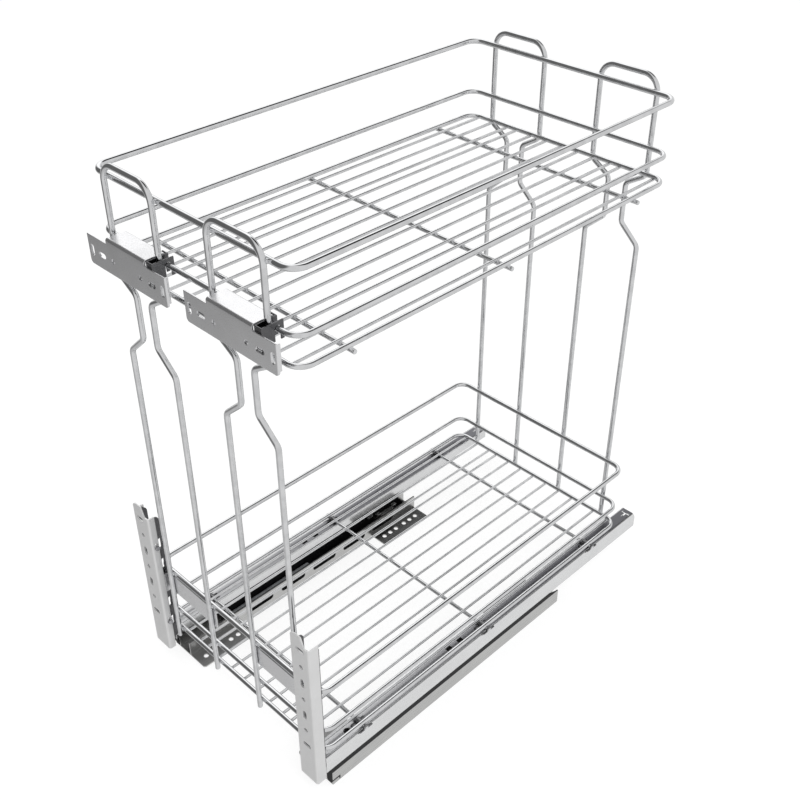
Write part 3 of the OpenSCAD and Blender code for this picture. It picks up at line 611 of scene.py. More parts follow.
@dataclass(frozen=True)
class SheetMetal(Finish):
    """Rolled and plated sheet steel.

    Attributes:
        colour: Its colour.
        shade: Its colour under thinner plating and in scratches.
        roughness: Its middle roughness.
        spread: Least and most roughness along the grain, as shares of that.
        wear: Colour of its polished edges.
        wear_share: How much of that colour shows.
        wear_polish: How much smoother the polished edges are.
        scratch_share: How much of the shade the scratches take.
        dust_roughness: What dust adds to the roughness.
        line_width: Width of the grain's lines, in millimetres.
        stretch: How much longer than wide they are.
        turn: How the grain is turned, in degrees about X, Y and Z.
        relief: Height of the grain, in millimetres.
        speck_share: How much of that height the fine specks have.
        strength: How strongly the grain shows.
        film: Colour painted on faces that look up, as painted shade where the baskets above shade them.
        film_share: How much of it shows.
        film_lying: The normal's upward share where the painted shade starts and is whole.
        film_way: Where along the rail the painted shade starts to deepen and is deepest, in metres.
        film_front: Its share before that way.
        film_roughness: What it adds to the roughness.
        metallic: How metallic the sheet is.
    """

    colour: Point = (0.5, 0.5, 0.5)
    shade: Point = (0.42, 0.42, 0.43)
    roughness: float = 0.36
    spread: tuple[float, float] = (0.8, 1.2)
    wear: Point = (0.8, 0.8, 0.81)
    wear_share: float = 0.5
    wear_polish: float = 0.1
    scratch_share: float = 0.2
    dust_roughness: float = 0.04
    line_width: float = 0.3
    stretch: float = 50.0
    turn: Point = (0.0, 0.0, 0.0)
    relief: float = 0.003
    speck_share: float = 0.15
    strength: float = 0.3
    # Painted shade: the next fields darken the colour of faces that look up, where the baskets above shade
    # the rails, more towards the rear.
    film: Point = (0.5, 0.5, 0.5)
    film_share: float = 0.0
    film_lying: tuple[float, float] = (0.94, 0.99)
    film_way: tuple[float, float] = (-0.3, 0.1)
    film_front: float = 0.68
    film_roughness: float = 0.0
    metallic: float = 1.0

    def film_mask(self, nodes: Nodes, place: NodeSocket) -> NodeSocket:
        """Finds where the shade is painted: on faces that look up, deeper towards the rear.

        Args:
            nodes: The material's nodes.
            place: The object's coordinates.

        Returns:
            The painted shade's share, from 0 to 1.
        """
        upward = nodes.add("SeparateXYZ", in_0=nodes.add("NewGeometry").outputs["Normal"]).outputs["Z"]
        lying = nodes.times(nodes.ramp(upward, *self.film_lying), self.film_share)
        along = nodes.add("SeparateXYZ", in_0=place).outputs["Y"]
        return nodes.times(lying, nodes.ramp(along, *self.film_way, self.film_front, 1.0))

    def dress(self, nodes: Nodes, shader: Node, place: NodeSocket) -> None:
        """Satin metal with grain, cloudy plating, polished edges, dust, and painted shade on faces that look
        up.

        Args:
            nodes: The material's nodes.
            shader: The shader to feed.
            place: The object's coordinates.
        """
        turn = tuple(math.radians(a) for a in self.turn)
        turned = nodes.add("Mapping", in_Vector=place, in_Rotation=turn).outputs[0]
        clouds, specks = PlatingClouds.use(nodes, Vector=place, Cloud_Size=22.0, Speck_Size=0.9)
        grain, scratches = BrushedGrain.use(nodes, Vector=turned, Line_Width=self.line_width,
                                            Stretch=self.stretch)
        wear, = EdgeWear.use(nodes, Vector=place, Reach=0.45, Patch_Size=5.0)
        dust, = SettledDust.use(nodes, Vector=place, Patch_Size=26.0)
        low, high = (self.roughness * share for share in self.spread)
        tone = self.mix(nodes, clouds, self.colour, self.shade)
        tone = self.mix(nodes, nodes.times(scratches, self.scratch_share), tone, self.shade)
        rough = nodes.add("MapRange", in_0=grain, in_1=0.25, in_2=0.75, in_3=low, in_4=high).outputs[0]
        # Painted shade: upward faces take a darker colour where the baskets shade them.
        if self.film_share:
            lying = self.film_mask(nodes, place)
            tone = self.mix(nodes, lying, tone, self.film)
            rough = nodes.plus(rough, nodes.times(lying, self.film_roughness))
        tone = self.mix(nodes, nodes.times(wear, self.wear_share), tone, self.wear)
        rough = nodes.math("SUBTRACT", rough, nodes.times(wear, self.wear_polish))
        rough = nodes.plus(rough, nodes.times(dust, self.dust_roughness), clamp=True)
        shader.inputs["Metallic"].default_value = self.metallic
        nodes.feed(shader.inputs["Base Color"], tone)
        nodes.feed(shader.inputs["Roughness"], rough)
        self.emboss(nodes, shader, nodes.plus(grain, nodes.times(specks, self.speck_share)), self.relief,
                    self.strength)


@dataclass(frozen=True)
class MouldedPlastic(Finish):
    """Injection moulded plastic with a fine matt grain.

    Attributes:
        colour: Its colour.
        shade: Its darker clouds.
        rubbed: Its colour along rubbed edges.
        wear_share: How much of that colour shows.
        wear_polish: How much smoother rubbed edges are.
        dust: Colour of the dust on it.
        dust_share: How much of the dust shows.
        roughness: Its roughness.
        spread: What the grain's lows and highs add to that.
        gloss: Its specular level.
        relief: Height of the grain, in millimetres.
        strength: How strongly the grain shows.
    """

    colour: Point = (0.008, 0.008, 0.009)
    shade: Point = (0.005, 0.005, 0.0055)
    rubbed: Point = (0.05, 0.05, 0.052)
    wear_share: float = 0.5
    wear_polish: float = 0.1
    dust: Point = (0.3, 0.29, 0.28)
    dust_share: float = 0.02
    roughness: float = 0.5
    spread: tuple[float, float] = (-0.06, 0.1)
    gloss: float = 0.25
    relief: float = 0.03
    strength: float = 0.3

    def dress(self, nodes: Nodes, shader: Node, place: NodeSocket) -> None:
        """A grained skin, paler and smoother where it has been rubbed.

        Args:
            nodes: The material's nodes.
            shader: The shader to feed.
            place: The object's coordinates.
        """
        clouds, specks = PlatingClouds.use(nodes, Vector=place, Cloud_Size=16.0, Speck_Size=0.45)
        wear, = EdgeWear.use(nodes, Vector=place, Reach=0.12, Patch_Size=3.0)
        dust, = SettledDust.use(nodes, Vector=place, Patch_Size=9.0)
        tone = self.mix(nodes, clouds, self.colour, self.shade)
        tone = self.mix(nodes, nodes.times(wear, self.wear_share), tone, self.rubbed)
        tone = self.mix(nodes, nodes.times(dust, self.dust_share), tone, self.dust)
        low, high = (self.roughness + step for step in self.spread)
        rough = nodes.add("MapRange", in_0=specks, in_3=low, in_4=high).outputs[0]
        rough = nodes.math("SUBTRACT", rough, nodes.times(wear, self.wear_polish), clamp=True)
        shader.inputs["Specular IOR Level"].default_value = self.gloss
        nodes.feed(shader.inputs["Base Color"], tone)
        nodes.feed(shader.inputs["Roughness"], rough)
        self.emboss(nodes, shader, specks, self.relief, self.strength)


CHROME = Chrome("bright chrome wire", "chrome_wire")
SATIN_STEEL = SheetMetal("satin plate steel", "bracket_steel", colour=(0.84, 0.84, 0.85),
                         shade=(0.80, 0.80, 0.81), roughness=0.3, relief=0.002, turn=(0, 90, 0))
BRACKET_STEEL = SheetMetal("satin bracket steel", "bracket_steel", colour=(0.80, 0.80, 0.80),
                           shade=(0.77, 0.77, 0.77), roughness=0.42, turn=(0, 90, 0), metallic=0.7)
# These rail steels paint shade into their colour: faces that look up go dark under the baskets, most towards
# the rear.
RAIL_STEEL = SheetMetal("zinc plated rail steel", "rail_steel", colour=(0.86, 0.865, 0.87),
                        shade=(0.82, 0.825, 0.83), roughness=0.17, relief=0.0002, line_width=0.2,
                        stretch=150.0, film=(0.15, 0.15, 0.165), film_share=0.95, film_front=0.4,
                        film_roughness=0.22, metallic=0.9)
BASE_STEEL = SheetMetal("zinc plated base steel", "rail_steel", colour=(0.62, 0.62, 0.61),
                        shade=(0.58, 0.58, 0.575), roughness=0.3, relief=0.0004, line_width=0.2,
                        stretch=150.0, film=(0.13, 0.13, 0.13), film_share=0.95)
MIDDLE_STEEL = SheetMetal("zinc plated middle rail steel", "rail_steel", colour=(0.74, 0.745, 0.75),
                          shade=(0.70, 0.705, 0.71), roughness=0.24, relief=0.0004, line_width=0.2,
                          stretch=150.0, film=(0.36, 0.36, 0.37), film_share=0.6, film_roughness=0.1)
CLIP_STEEL = SheetMetal("spring clip steel", "dark_steel", colour=(0.23, 0.23, 0.235),
                        shade=(0.18, 0.18, 0.185), roughness=0.24, relief=0.001)
# Painted shade: this near-black colour stands in for the shadow that the plate clips and adjusters sit in,
# behind the plates and brackets.
PAINTED_SHADE_STEEL = SheetMetal("spring steel with painted shade", "dark_steel", colour=(0.16, 0.16, 0.165),
                        shade=(0.12, 0.12, 0.125), roughness=0.3, wear=(0.4, 0.4, 0.4))
SCREW_STEEL = SheetMetal("plated screw steel", "screw_steel", colour=(0.5, 0.5, 0.52),
                         shade=(0.42, 0.42, 0.44), roughness=0.28, stretch=1.0, line_width=0.5)
ROLLER_STEEL = SheetMetal("hardened roller steel", "roller_steel", colour=(0.6, 0.6, 0.61),
                          shade=(0.54, 0.54, 0.55), roughness=0.16, stretch=1.0, line_width=0.4)
BLACK_PLASTIC = MouldedPlastic("black moulded plastic", "black_plastic")
GREY_PLASTIC = MouldedPlastic("grey moulded plastic", "grey_plastic", colour=(0.30, 0.31, 0.32),
                              shade=(0.25, 0.26, 0.27), rubbed=(0.45, 0.45, 0.46), roughness=0.38)


# ---- Wires ----


@dataclass
class BentWire:
    """A round wire through corner points, drawn as one tube.

    Attributes:
        corners: The corners as (x, y, z) in millimetres.
        bend: Centre-line radius at each corner; an open wire's two ends aren't bent.
        diameter: The wire's diameter in millimetres.
        closed: Whether the last corner joins the first.
        sides: Faces round the wire.
        end_share: How much of the diameter the rounding of an end takes.
        end_angle: Least angle, in degrees, of an edge that this rounds.
    """

    corners: list[Point]
    bend: list[float]
    diameter: float
    closed: bool = False
    sides: int = 24
    end_share: float = 0.09
    end_angle: float = 50.0

    def draw(self, name: str) -> Object:
        """Draws the wire: a circle extruded along each straight and spun round each bend.

        Args:
            name: The piece's name.

        Returns:
            The wire, with a mesh in its place.
        """
        points = [Vector(c) * MM for c in self.corners]
        count = len(points)
        start = (points[-1] + points[0]) / 2 if self.closed else points[0]
        first = 0 if self.closed else 1
        heading = (points[first] - start).normalized()
        deselect()
        bpy.ops.mesh.primitive_circle_add(vertices=self.sides, radius=self.diameter / 2 * MM,
                                          fill_type="NOTHING", location=start,
                                          rotation=heading.to_track_quat("Z", "Y").to_euler())
        wire = bpy.context.object
        bpy.ops.object.mode_set(mode="EDIT")
        bpy.ops.mesh.select_mode(type="EDGE")
        bpy.ops.mesh.select_all(action="SELECT")
        place = start
        for i in range(first, count if self.closed else count - 1):
            out = (points[(i + 1) % count] - points[i]).normalized()
            turn, radius = heading.angle(out), self.bend[i] * MM
            back = radius * math.tan(turn / 2)
            place = self.run_to(place, points[i] - heading * back)
            axis = heading.cross(out).normalized()
            centre = place + axis.cross(heading) * radius
            steps = max(LEAST_STEPS, round(math.degrees(turn) / WIRE_STEP))
            bpy.ops.mesh.spin(steps=steps, angle=-turn, center=centre, axis=axis)
            place, heading = points[i] + out * back, out
        self.run_to(place, start if self.closed else points[-1])
        bpy.ops.mesh.select_all(action="SELECT")
        bpy.ops.mesh.remove_doubles(threshold=WIRE_MERGE * MM)
        if not self.closed:
            bpy.ops.mesh.fill_holes(sides=0)
        face_outwards()
        bpy.ops.object.mode_set(mode="OBJECT")
        settle(wire)
        if not self.closed:
            break_edges(wire, self.diameter * self.end_share, self.end_angle)
        smooth(wire, WIRE_CREASE)
        return name_piece(wire, name)

    @staticmethod
    def run_to(place: Vector, goal: Vector) -> Vector:
        """Extrudes the open ring from one place straight to another, and returns that one."""
        extrude(goal - place)
        return goal


def weld_beads(places: Iterable[Point], size: Point, name: str) -> Object:
    """Makes small flattened beads where wires are resistance-welded.

    Args:
        places: Their centres in millimetres.
        size: Their half sizes in millimetres.
        name: The piece's name.

    Returns:
        All the beads as one object.
    """
    deselect()
    bpy.ops.mesh.primitive_ico_sphere_add(subdivisions=2, radius=1.0)
    pattern = bpy.context.object
    pattern.scale = [s * MM for s in size]
    settle(pattern)
    smooth(pattern, WELD_CREASE)
    beads = []
    for place in places:
        bead = pattern.copy()
        bead.data = pattern.data.copy()
        bead.data.transform(Matrix.Translation(Vector(place) * MM))
        bpy.context.scene.collection.objects.link(bead)
        beads.append(bead)
    bpy.data.objects.remove(pattern)
    return join(beads, name)


@dataclass
class Basket:
    """One wire tier: three rings, thirteen floor wires and three cross wires.

    Attributes:
        tier: "lower" or "upper", as in the node names.
        base_z: Height of the base ring.
        width: Width of the rings, between the wires' middles.
        depth: Their depth.
        mid_y: The basket's middle.
        corner_r: Bend radius of their corners.
        mid_rise: Height of the middle ring above the base ring.
        rim_rise: Height of the rim above it.
        rim_d: The rim's diameter.
        ring_d: Diameter of the two lower rings.
        cross_d: Diameter of the cross wires.
        floor_d: Diameter of the floor wires.
        cross_y: Distance of the outer cross wires from the middle one.
        cross_reach: How far the cross wires reach past the rings.
        inner_wires: Number of floor wires in the middle field.
        inner_pitch: Their pitch.
        outer_wires: Number of floor wires in each outer field.
        outer_pitch: Their pitch.
        outer_inset: Distance of the outermost floor wire from the ring.
        weld_gap: Gap between a floor wire's end and the ring.
        floor_weld: Half sizes of a weld under a floor wire.
        ring_weld: Half sizes of a weld under the base ring.
    """

    tier: str
    base_z: float
    width: float = 238.0
    depth: float = 440.0
    mid_y: float = -8.8
    corner_r: float = 13.0
    mid_rise: float = 25.6
    rim_rise: float = 76.9
    rim_d: float = 5.0
    ring_d: float = 4.5
    cross_d: float = 4.0
    floor_d: float = 2.8
    cross_y: float = 172.0
    cross_reach: float = 5.0
    inner_wires: int = 7
    inner_pitch: float = 19.33
    outer_wires: int = 3
    outer_pitch: float = 19.0
    outer_inset: float = 11.0
    weld_gap: float = 0.1
    floor_weld: Point = (1.35, 1.75, 0.75)
    ring_weld: Point = (1.9, 1.9, 1.0)

    def ring(self, part: str, z: float, diameter: float) -> None:
        """Draws one closed ring and mounts it.

        Args:
            part: "base", "mid" or "rim", as in the node names.
            z: Its height.
            diameter: Its wire's diameter.
        """
        x, front, back = self.width / 2, self.mid_y - self.depth / 2, self.mid_y + self.depth / 2
        corners = [(x, front, z), (x, back, z), (-x, back, z), (-x, front, z)]
        wire = BentWire(corners, [self.corner_r] * 4, diameter, closed=True)
        mount(wire.draw(f"{self.tier}_{part}_wire"), CHROME, "carriage", f"{self.tier}_{part}_ring")

    def floor_places(self) -> list[float]:
        """Spaces the floor wires.

        Returns:
            The X of each.
        """
        half = (self.inner_wires - 1) / 2
        inner = [(k - half) * self.inner_pitch for k in range(self.inner_wires)]
        outer = [s * (self.width / 2 - self.outer_inset - k * self.outer_pitch)
                 for s in (-1, 1) for k in range(self.outer_wires)]
        return sorted(inner + outer)

    def floor_reach(self, x: float) -> float:
        """Measures a floor wire, which ends inside the base ring.

        Args:
            x: Where it lies.

        Returns:
            Half its length.
        """
        past = max(0.0, abs(x) + self.floor_d / 2 - (self.width / 2 - self.corner_r))
        inner_r = self.corner_r - self.ring_d / 2
        return self.depth / 2 - self.corner_r + math.sqrt(max(0.0, inner_r ** 2 - past ** 2)) - self.weld_gap

    def floor(self) -> None:
        """Draws the floor wires, their welds and the cross wires under them."""
        seat = self.base_z - self.ring_d / 2
        over, under = seat + self.floor_d / 2, seat - self.cross_d / 2
        wires = []
        for x in self.floor_places():
            reach = self.floor_reach(x)
            ends = [(x, self.mid_y - reach, over), (x, self.mid_y + reach, over)]
            wires.append(BentWire(ends, [0, 0], self.floor_d, sides=20).draw("floor_wire"))
        mount(join(wires, f"{self.tier}_floor_grid"), CHROME, "carriage", f"{self.tier}_floor_wires")
        reach = self.width / 2 + self.cross_reach
        rows = [self.mid_y + k * self.cross_y for k in (-1, 0, 1)]
        wires = []
        for y in rows:
            ends = [(-reach, y, under), (reach, y, under)]
            wires.append(BentWire(ends, [0, 0], self.cross_d).draw("cross_wire"))
        mount(join(wires, f"{self.tier}_cross_bars"), CHROME, "carriage", f"{self.tier}_cross_wires")
        beads = [(x, y, seat) for x in self.floor_places() for y in rows]
        mount(weld_beads(beads, self.floor_weld, f"{self.tier}_floor_welds"), CHROME, "carriage")
        beads = [(s * self.width / 2, y, seat) for s in (-1, 1) for y in rows]
        mount(weld_beads(beads, self.ring_weld, f"{self.tier}_ring_welds"), CHROME, "carriage")

    def build(self) -> None:
        """Builds the whole tier."""
        self.ring("base", self.base_z, self.ring_d)
        self.ring("mid", self.base_z + self.mid_rise, self.ring_d)
        self.ring("rim", self.base_z + self.rim_rise, self.rim_d)
        self.floor()


@dataclass
class Upright:
    """One upright wire: two legs drawn in to a neck and closed by a loop over the upper rim.

    Attributes:
        side: Which side of the basket it stands on.
        end: Which end of the basket it stands at.
        centre_x: Distance of its middle from the basket's middle, across.
        basket_reach: That distance along the basket.
        mid_y: The basket's middle.
        wide: Half the distance between its legs.
        slim: Half that distance in the neck.
        foot_z: Its lower ends.
        neck_foot_z: Where the legs start to close in below the neck, and where they have done so.
        neck_head_z: Where the legs start to part above the neck, and where they have done so.
        loop_z: The loop's top.
        neck_r: Bend radius in the neck.
        loop_r: Bend radius of the loop.
        diameter: The wire's diameter.
        ring_heights: Heights of the rings that it is welded to.
        weld: Half sizes of a weld.
    """

    side: Side
    end: End
    centre_x: float = 64.0
    basket_reach: float = 225.0
    mid_y: float = -8.8
    wide: float = 31.0
    slim: float = 10.0
    foot_z: float = 40.75
    neck_foot_z: tuple[float, float] = (384.75, 403.75)
    neck_head_z: tuple[float, float] = (444.75, 457.75)
    loop_z: float = 551.75
    neck_r: float = 8.0
    loop_r: float = 15.0
    diameter: float = 5.0
    ring_heights: tuple[float, ...] = (46.75, 72.35, 123.65, 461.85, 487.45, 538.75)
    weld: Point = (1.9, 1.1, 1.9)

    def build(self) -> None:
        """Draws the wire and the welds to the rings that it touches."""
        word = f"{self.end.word}_{self.side.word}_upright"
        x, y = self.side.value * self.centre_x, self.mid_y + self.end.value * self.basket_reach
        legs = [(self.wide, self.foot_z, 0), (self.wide, self.neck_foot_z[0], self.neck_r),
                (self.slim, self.neck_foot_z[1], self.neck_r), (self.slim, self.neck_head_z[0], self.neck_r),
                (self.wide, self.neck_head_z[1], self.neck_r), (self.wide, self.loop_z, self.loop_r)]
        path = legs + [(-w, z, r) for w, z, r in reversed(legs)]
        wire = BentWire([(x + w, y, z) for w, z, _ in path], [r for *_, r in path], self.diameter)
        mount(wire.draw(f"{word}_wire"), CHROME, "carriage", word)
        touch = y - self.end.value * self.diameter / 2
        beads = [(x + s * self.wide, touch, z) for s in (-1, 1) for z in self.ring_heights]
        mount(weld_beads(beads, self.weld, f"{word}_welds"), CHROME, "carriage")


# ---- Sheet pieces ----


Outline = list[tuple[float, float]]
Place = Callable[[float, float, float], Point]

# Faces round a hole, and steps round a corner.
HOLE_SIDES = 28
CORNER_STEPS = 8

# How far, in millimetres, a corner's waste and a punch reach past the sheet.
CORNER_REACH = 0.5
PUNCH_REACH = 1.0


def round_outline(x: float, y: float, diameter: float) -> Outline:
    """The corners of a round hole."""
    turns = [2 * math.pi * k / HOLE_SIDES for k in range(HOLE_SIDES)]
    return [(x + diameter / 2 * math.cos(a), y + diameter / 2 * math.sin(a)) for a in turns]


def slot_outline(x: float, y: float, length: float, width: float, upright: bool = False) -> Outline:
    """The corners of a slot with round ends.

    Args:
        x: The slot's middle, across.
        y: The slot's middle, up.
        length: Its length, end to end.
        width: Its width.
        upright: Whether it stands instead of lying level.

    Returns:
        Its corners in order.
    """
    shift, half_turn, r = (length - width) / 2, HOLE_SIDES // 2, width / 2
    points = []
    for end in (1, -1):
        for k in range(half_turn + 1):
            angle = math.pi * (k / half_turn - 0.5)
            across, along = end * (shift + r * math.cos(angle)), end * r * math.sin(angle)
            points.append((x - along, y + across) if upright else (x + across, y + along))
    return points


def rounding_waste(x: float, y: float, radius: float, to_x: int, to_y: int) -> Outline:
    """The waste that a punch takes off to round a corner.

    Args:
        x: The sharp corner, across.
        y: The sharp corner, up.
        radius: The rounding's radius.
        to_x: 1 or -1, the way from the corner to the sheet across.
        to_y: 1 or -1, the way from the corner to the sheet upwards.

    Returns:
        The waste's corners in order.
    """
    past_x, past_y = x - to_x * CORNER_REACH, y - to_y * CORNER_REACH
    arc = [(x + to_x * radius * (1 - math.sin(a)), y + to_y * radius * (1 - math.cos(a)))
           for a in (math.pi / 2 * k / CORNER_STEPS for k in range(CORNER_STEPS + 1))]
    return [(past_x, past_y), (x + to_x * radius, past_y), *arc, (past_x, y + to_y * radius)]


def prism(outline: Outline, place: Place, low: float, high: float) -> Object:
    """Makes a solid from an outline, as a punch for sheet.

    Args:
        outline: The punch's corners.
        place: Turns an outline point and a depth into a place in millimetres.
        low: Depth where it starts.
        high: Depth where it ends.

    Returns:
        The closed solid.
    """
    deselect()
    bpy.ops.mesh.primitive_circle_add(vertices=len(outline), fill_type="NGON")
    punch = bpy.context.object
    for vertex, (a, b) in zip(punch.data.vertices, outline):
        vertex.co = Vector(place(a, b, low)) * MM
    step = (Vector(place(0, 0, high)) - Vector(place(0, 0, low))) * MM
    bpy.ops.object.mode_set(mode="EDIT")
    bpy.ops.mesh.select_all(action="SELECT")
    extrude(step)
    face_outwards()
    bpy.ops.object.mode_set(mode="OBJECT")
    return punch


def combine(piece: Object, tools: Sequence[Object], operation: str = "DIFFERENCE") -> None:
    """Cuts tools out of a piece, or adds them to it, and clears them away.

    Args:
        piece: The piece.
        tools: The solids, which are used up.
        operation: "DIFFERENCE" or "UNION".
    """
    tool = join(list(tools), "tool")
    apply_modifier(piece, "BOOLEAN", operation=operation, object=tool, solver="EXACT", use_self=True)
    bpy.data.objects.remove(tool)


@dataclass
class FoldedSheet:
    """A strip of sheet folded along parallel lines, as a press brake or a roll former makes it.

    Attributes:
        profile: Corners of the sheet's middle surface across the folds, in millimetres.
        radii: Fold radius of the middle surface at each corner between the first and the last.
        low: Where the strip starts along the folds.
        high: Where it ends.
        thickness: The sheet's thickness.
        place: Turns a profile point and a length along the folds into a place in millimetres.
        edge: How far its sheared edges are broken.
        edge_angle: Least angle, in degrees, of an edge that this breaks.
    """

    profile: Outline
    radii: list[float]
    low: float
    high: float
    thickness: float
    place: Place
    edge: float = 0.3
    edge_angle: float = 55.0

    def form(self, name: str) -> Object:
        """Extrudes the flanges from one edge, rolls the folds and gives the sheet its thickness.

        Args:
            name: The piece's name.

        Returns:
            The closed solid.
        """
        deselect()
        bpy.ops.mesh.primitive_plane_add(size=1.0)
        sheet = bpy.context.object
        bpy.ops.object.mode_set(mode="EDIT")
        bpy.ops.mesh.select_mode(type="VERT")
        bpy.ops.mesh.select_all(action="DESELECT")
        mesh = bmesh.from_edit_mesh(sheet.data)
        for vertex in mesh.verts:
            vertex.select_set(vertex.co.x > 0)
        bpy.ops.mesh.delete(type="VERT")
        mesh = bmesh.from_edit_mesh(sheet.data)
        for vertex, along in zip(sorted(mesh.verts, key=lambda v: v.co.y), (self.low, self.high)):
            vertex.co = Vector(self.place(*self.profile[0], along)) * MM
        bmesh.update_edit_mesh(sheet.data)
        bpy.ops.mesh.select_mode(type="EDGE")
        bpy.ops.mesh.select_all(action="SELECT")
        spots = [Vector(self.place(*point, self.low)) * MM for point in self.profile]
        for here, there in zip(spots, spots[1:]):
            extrude(there - here)
        face_outwards()
        way = (Vector(self.place(0, 0, 1)) - Vector(self.place(0, 0, 0))).normalized()
        for before, spot, after, radius in zip(spots, spots[1:], spots[2:], self.radii):
            turn = (spot - before).angle(after - spot)
            select_edges(sheet, lambda co, s=spot: (co - s - way * (co - s).dot(way)).length < ON_FOLD * MM)
            bpy.ops.mesh.bevel(offset=radius * MM * math.tan(turn / 2), offset_type="OFFSET", affect="EDGES",
                               segments=max(LEAST_STEPS, round(math.degrees(turn) / FOLD_STEP)))
        bpy.ops.object.mode_set(mode="OBJECT")
        apply_modifier(sheet, "SOLIDIFY", thickness=self.thickness * MM, offset=0.0, use_even_offset=True)
        break_edges(sheet, self.edge, self.edge_angle)
        return name_piece(sheet, name)


def shade_sheet(piece: Object) -> Object:
    """Closes the cuts' smallest seams, and shades the folds round and the flanges flat.

    Args:
        piece: The punched sheet.

    Returns:
        The piece.
    """
    apply_modifier(piece, "WELD", merge_threshold=SHEET_MERGE * MM)
    smooth(piece, SHEET_CREASE)
    flatten_shading(piece)
    return piece


@dataclass
class DoorPlate:
    """The upper plate that a cabinet door is screwed to, with a hook over the basket's middle ring.

    Attributes:
        side: Which side of the cabinet it stands on.
        centre_x: Distance of its middle from the cabinet's middle.
        face_y: The plane that touches the door.
        foot_z: Its lower edge.
        half: Half its length.
        height: Its height beside the raised part.
        thickness: The sheet's thickness.
        corner_r: Radius of its lower corners.
        raised_x: Where the raised part starts and ends, from the plate's middle.
        raised_h: Height of the raised part.
        hook_back: The hook's rear face.
        hook_drop: How far the hook reaches down.
        lip: Depth of the bent-back right end.
        slot: Length and width of its slots.
        end_inset: Distance of the upright slots from its ends.
        level_inset: Distance of the level slots from its ends.
        pilot_inset: Distance of the pilot holes from its ends.
        pilot_d: Diameter of the pilot holes.
        overlap: How far the hook's blank reaches down into the plate before they are made one.
        lip_fold_r: Fold radius of the right end.
        hook_fold_r: Fold radius of the hook.
        lip_cut: How deep the cut under the right end reaches from the face.
    """

    side: Side
    centre_x: float = 64.0
    face_y: float = -244.5
    foot_z: float = 462.75
    half: float = 52.7
    height: float = 26.0
    thickness: float = 1.5
    corner_r: float = 4.0
    raised_x: tuple[float, float] = (-25.3, 26.7)
    raised_h: float = 5.0
    hook_back: float = -224.75
    hook_drop: float = 9.0
    lip: float = 3.3
    slot: tuple[float, float] = (10.0, 4.5)
    end_inset: float = 5.4
    level_inset: float = 19.2
    pilot_inset: float = 34.2
    pilot_d: float = 4.6
    overlap: float = 2.0
    lip_fold_r: float = 1.2
    hook_fold_r: float = 1.6
    lip_cut: float = 5.0

    def build(self) -> None:
        """Folds the plate and its hook, punches it and mounts it."""
        x, t = self.side.value * self.centre_x, self.thickness
        mid = self.face_y + t / 2
        end = self.half - t / 2
        path = [(-self.half, mid), (end, mid), (end, self.face_y + self.lip)]
        front = FoldedSheet(path, [self.lip_fold_r], 0.0, self.height, t,
                            lambda a, b, s: (x + a, b, self.foot_z + s))
        piece = front.form(f"{self.side.word}_door_plate_piece")
        top = self.height + self.raised_h - t / 2
        back = self.hook_back - t / 2
        tip = top + t / 2 - self.hook_drop
        path = [(mid, self.height - self.overlap), (mid, top), (back, top), (back, tip)]
        hook = FoldedSheet(path, [self.hook_fold_r] * 2, *self.raised_x, t,
                           lambda a, b, s: (x + s, a, self.foot_z + b))
        combine(piece, [hook.form("hook")], "UNION")
        middle = self.height / 2
        outlines = [rounding_waste(end * self.half, 0, self.corner_r, -end, 1) for end in (-1, 1)]
        for s in (-1, 1):
            outlines += [slot_outline(s * (self.half - self.end_inset), middle, *self.slot, upright=True),
                         slot_outline(s * (self.half - self.level_inset), middle, *self.slot),
                         round_outline(s * (self.half - self.pilot_inset), middle, self.pilot_d)]
        left, right = self.half - self.overlap, self.half + PUNCH_REACH
        low, high = -PUNCH_REACH, self.corner_r
        below_lip = [(left, low), (right, low), (right, high), (left, high)]
        cuts = [(o, self.face_y - PUNCH_REACH, self.face_y + 2 * t) for o in outlines]
        cuts.append((below_lip, self.face_y + t, self.face_y + self.lip_cut))
        combine(piece, [prism(outline, lambda a, b, s: (x + a, s, self.foot_z + b), low, high)
                        for outline, low, high in cuts])
        mount(shade_sheet(piece), SATIN_STEEL, "carriage", f"{self.side.word}_door_plate")


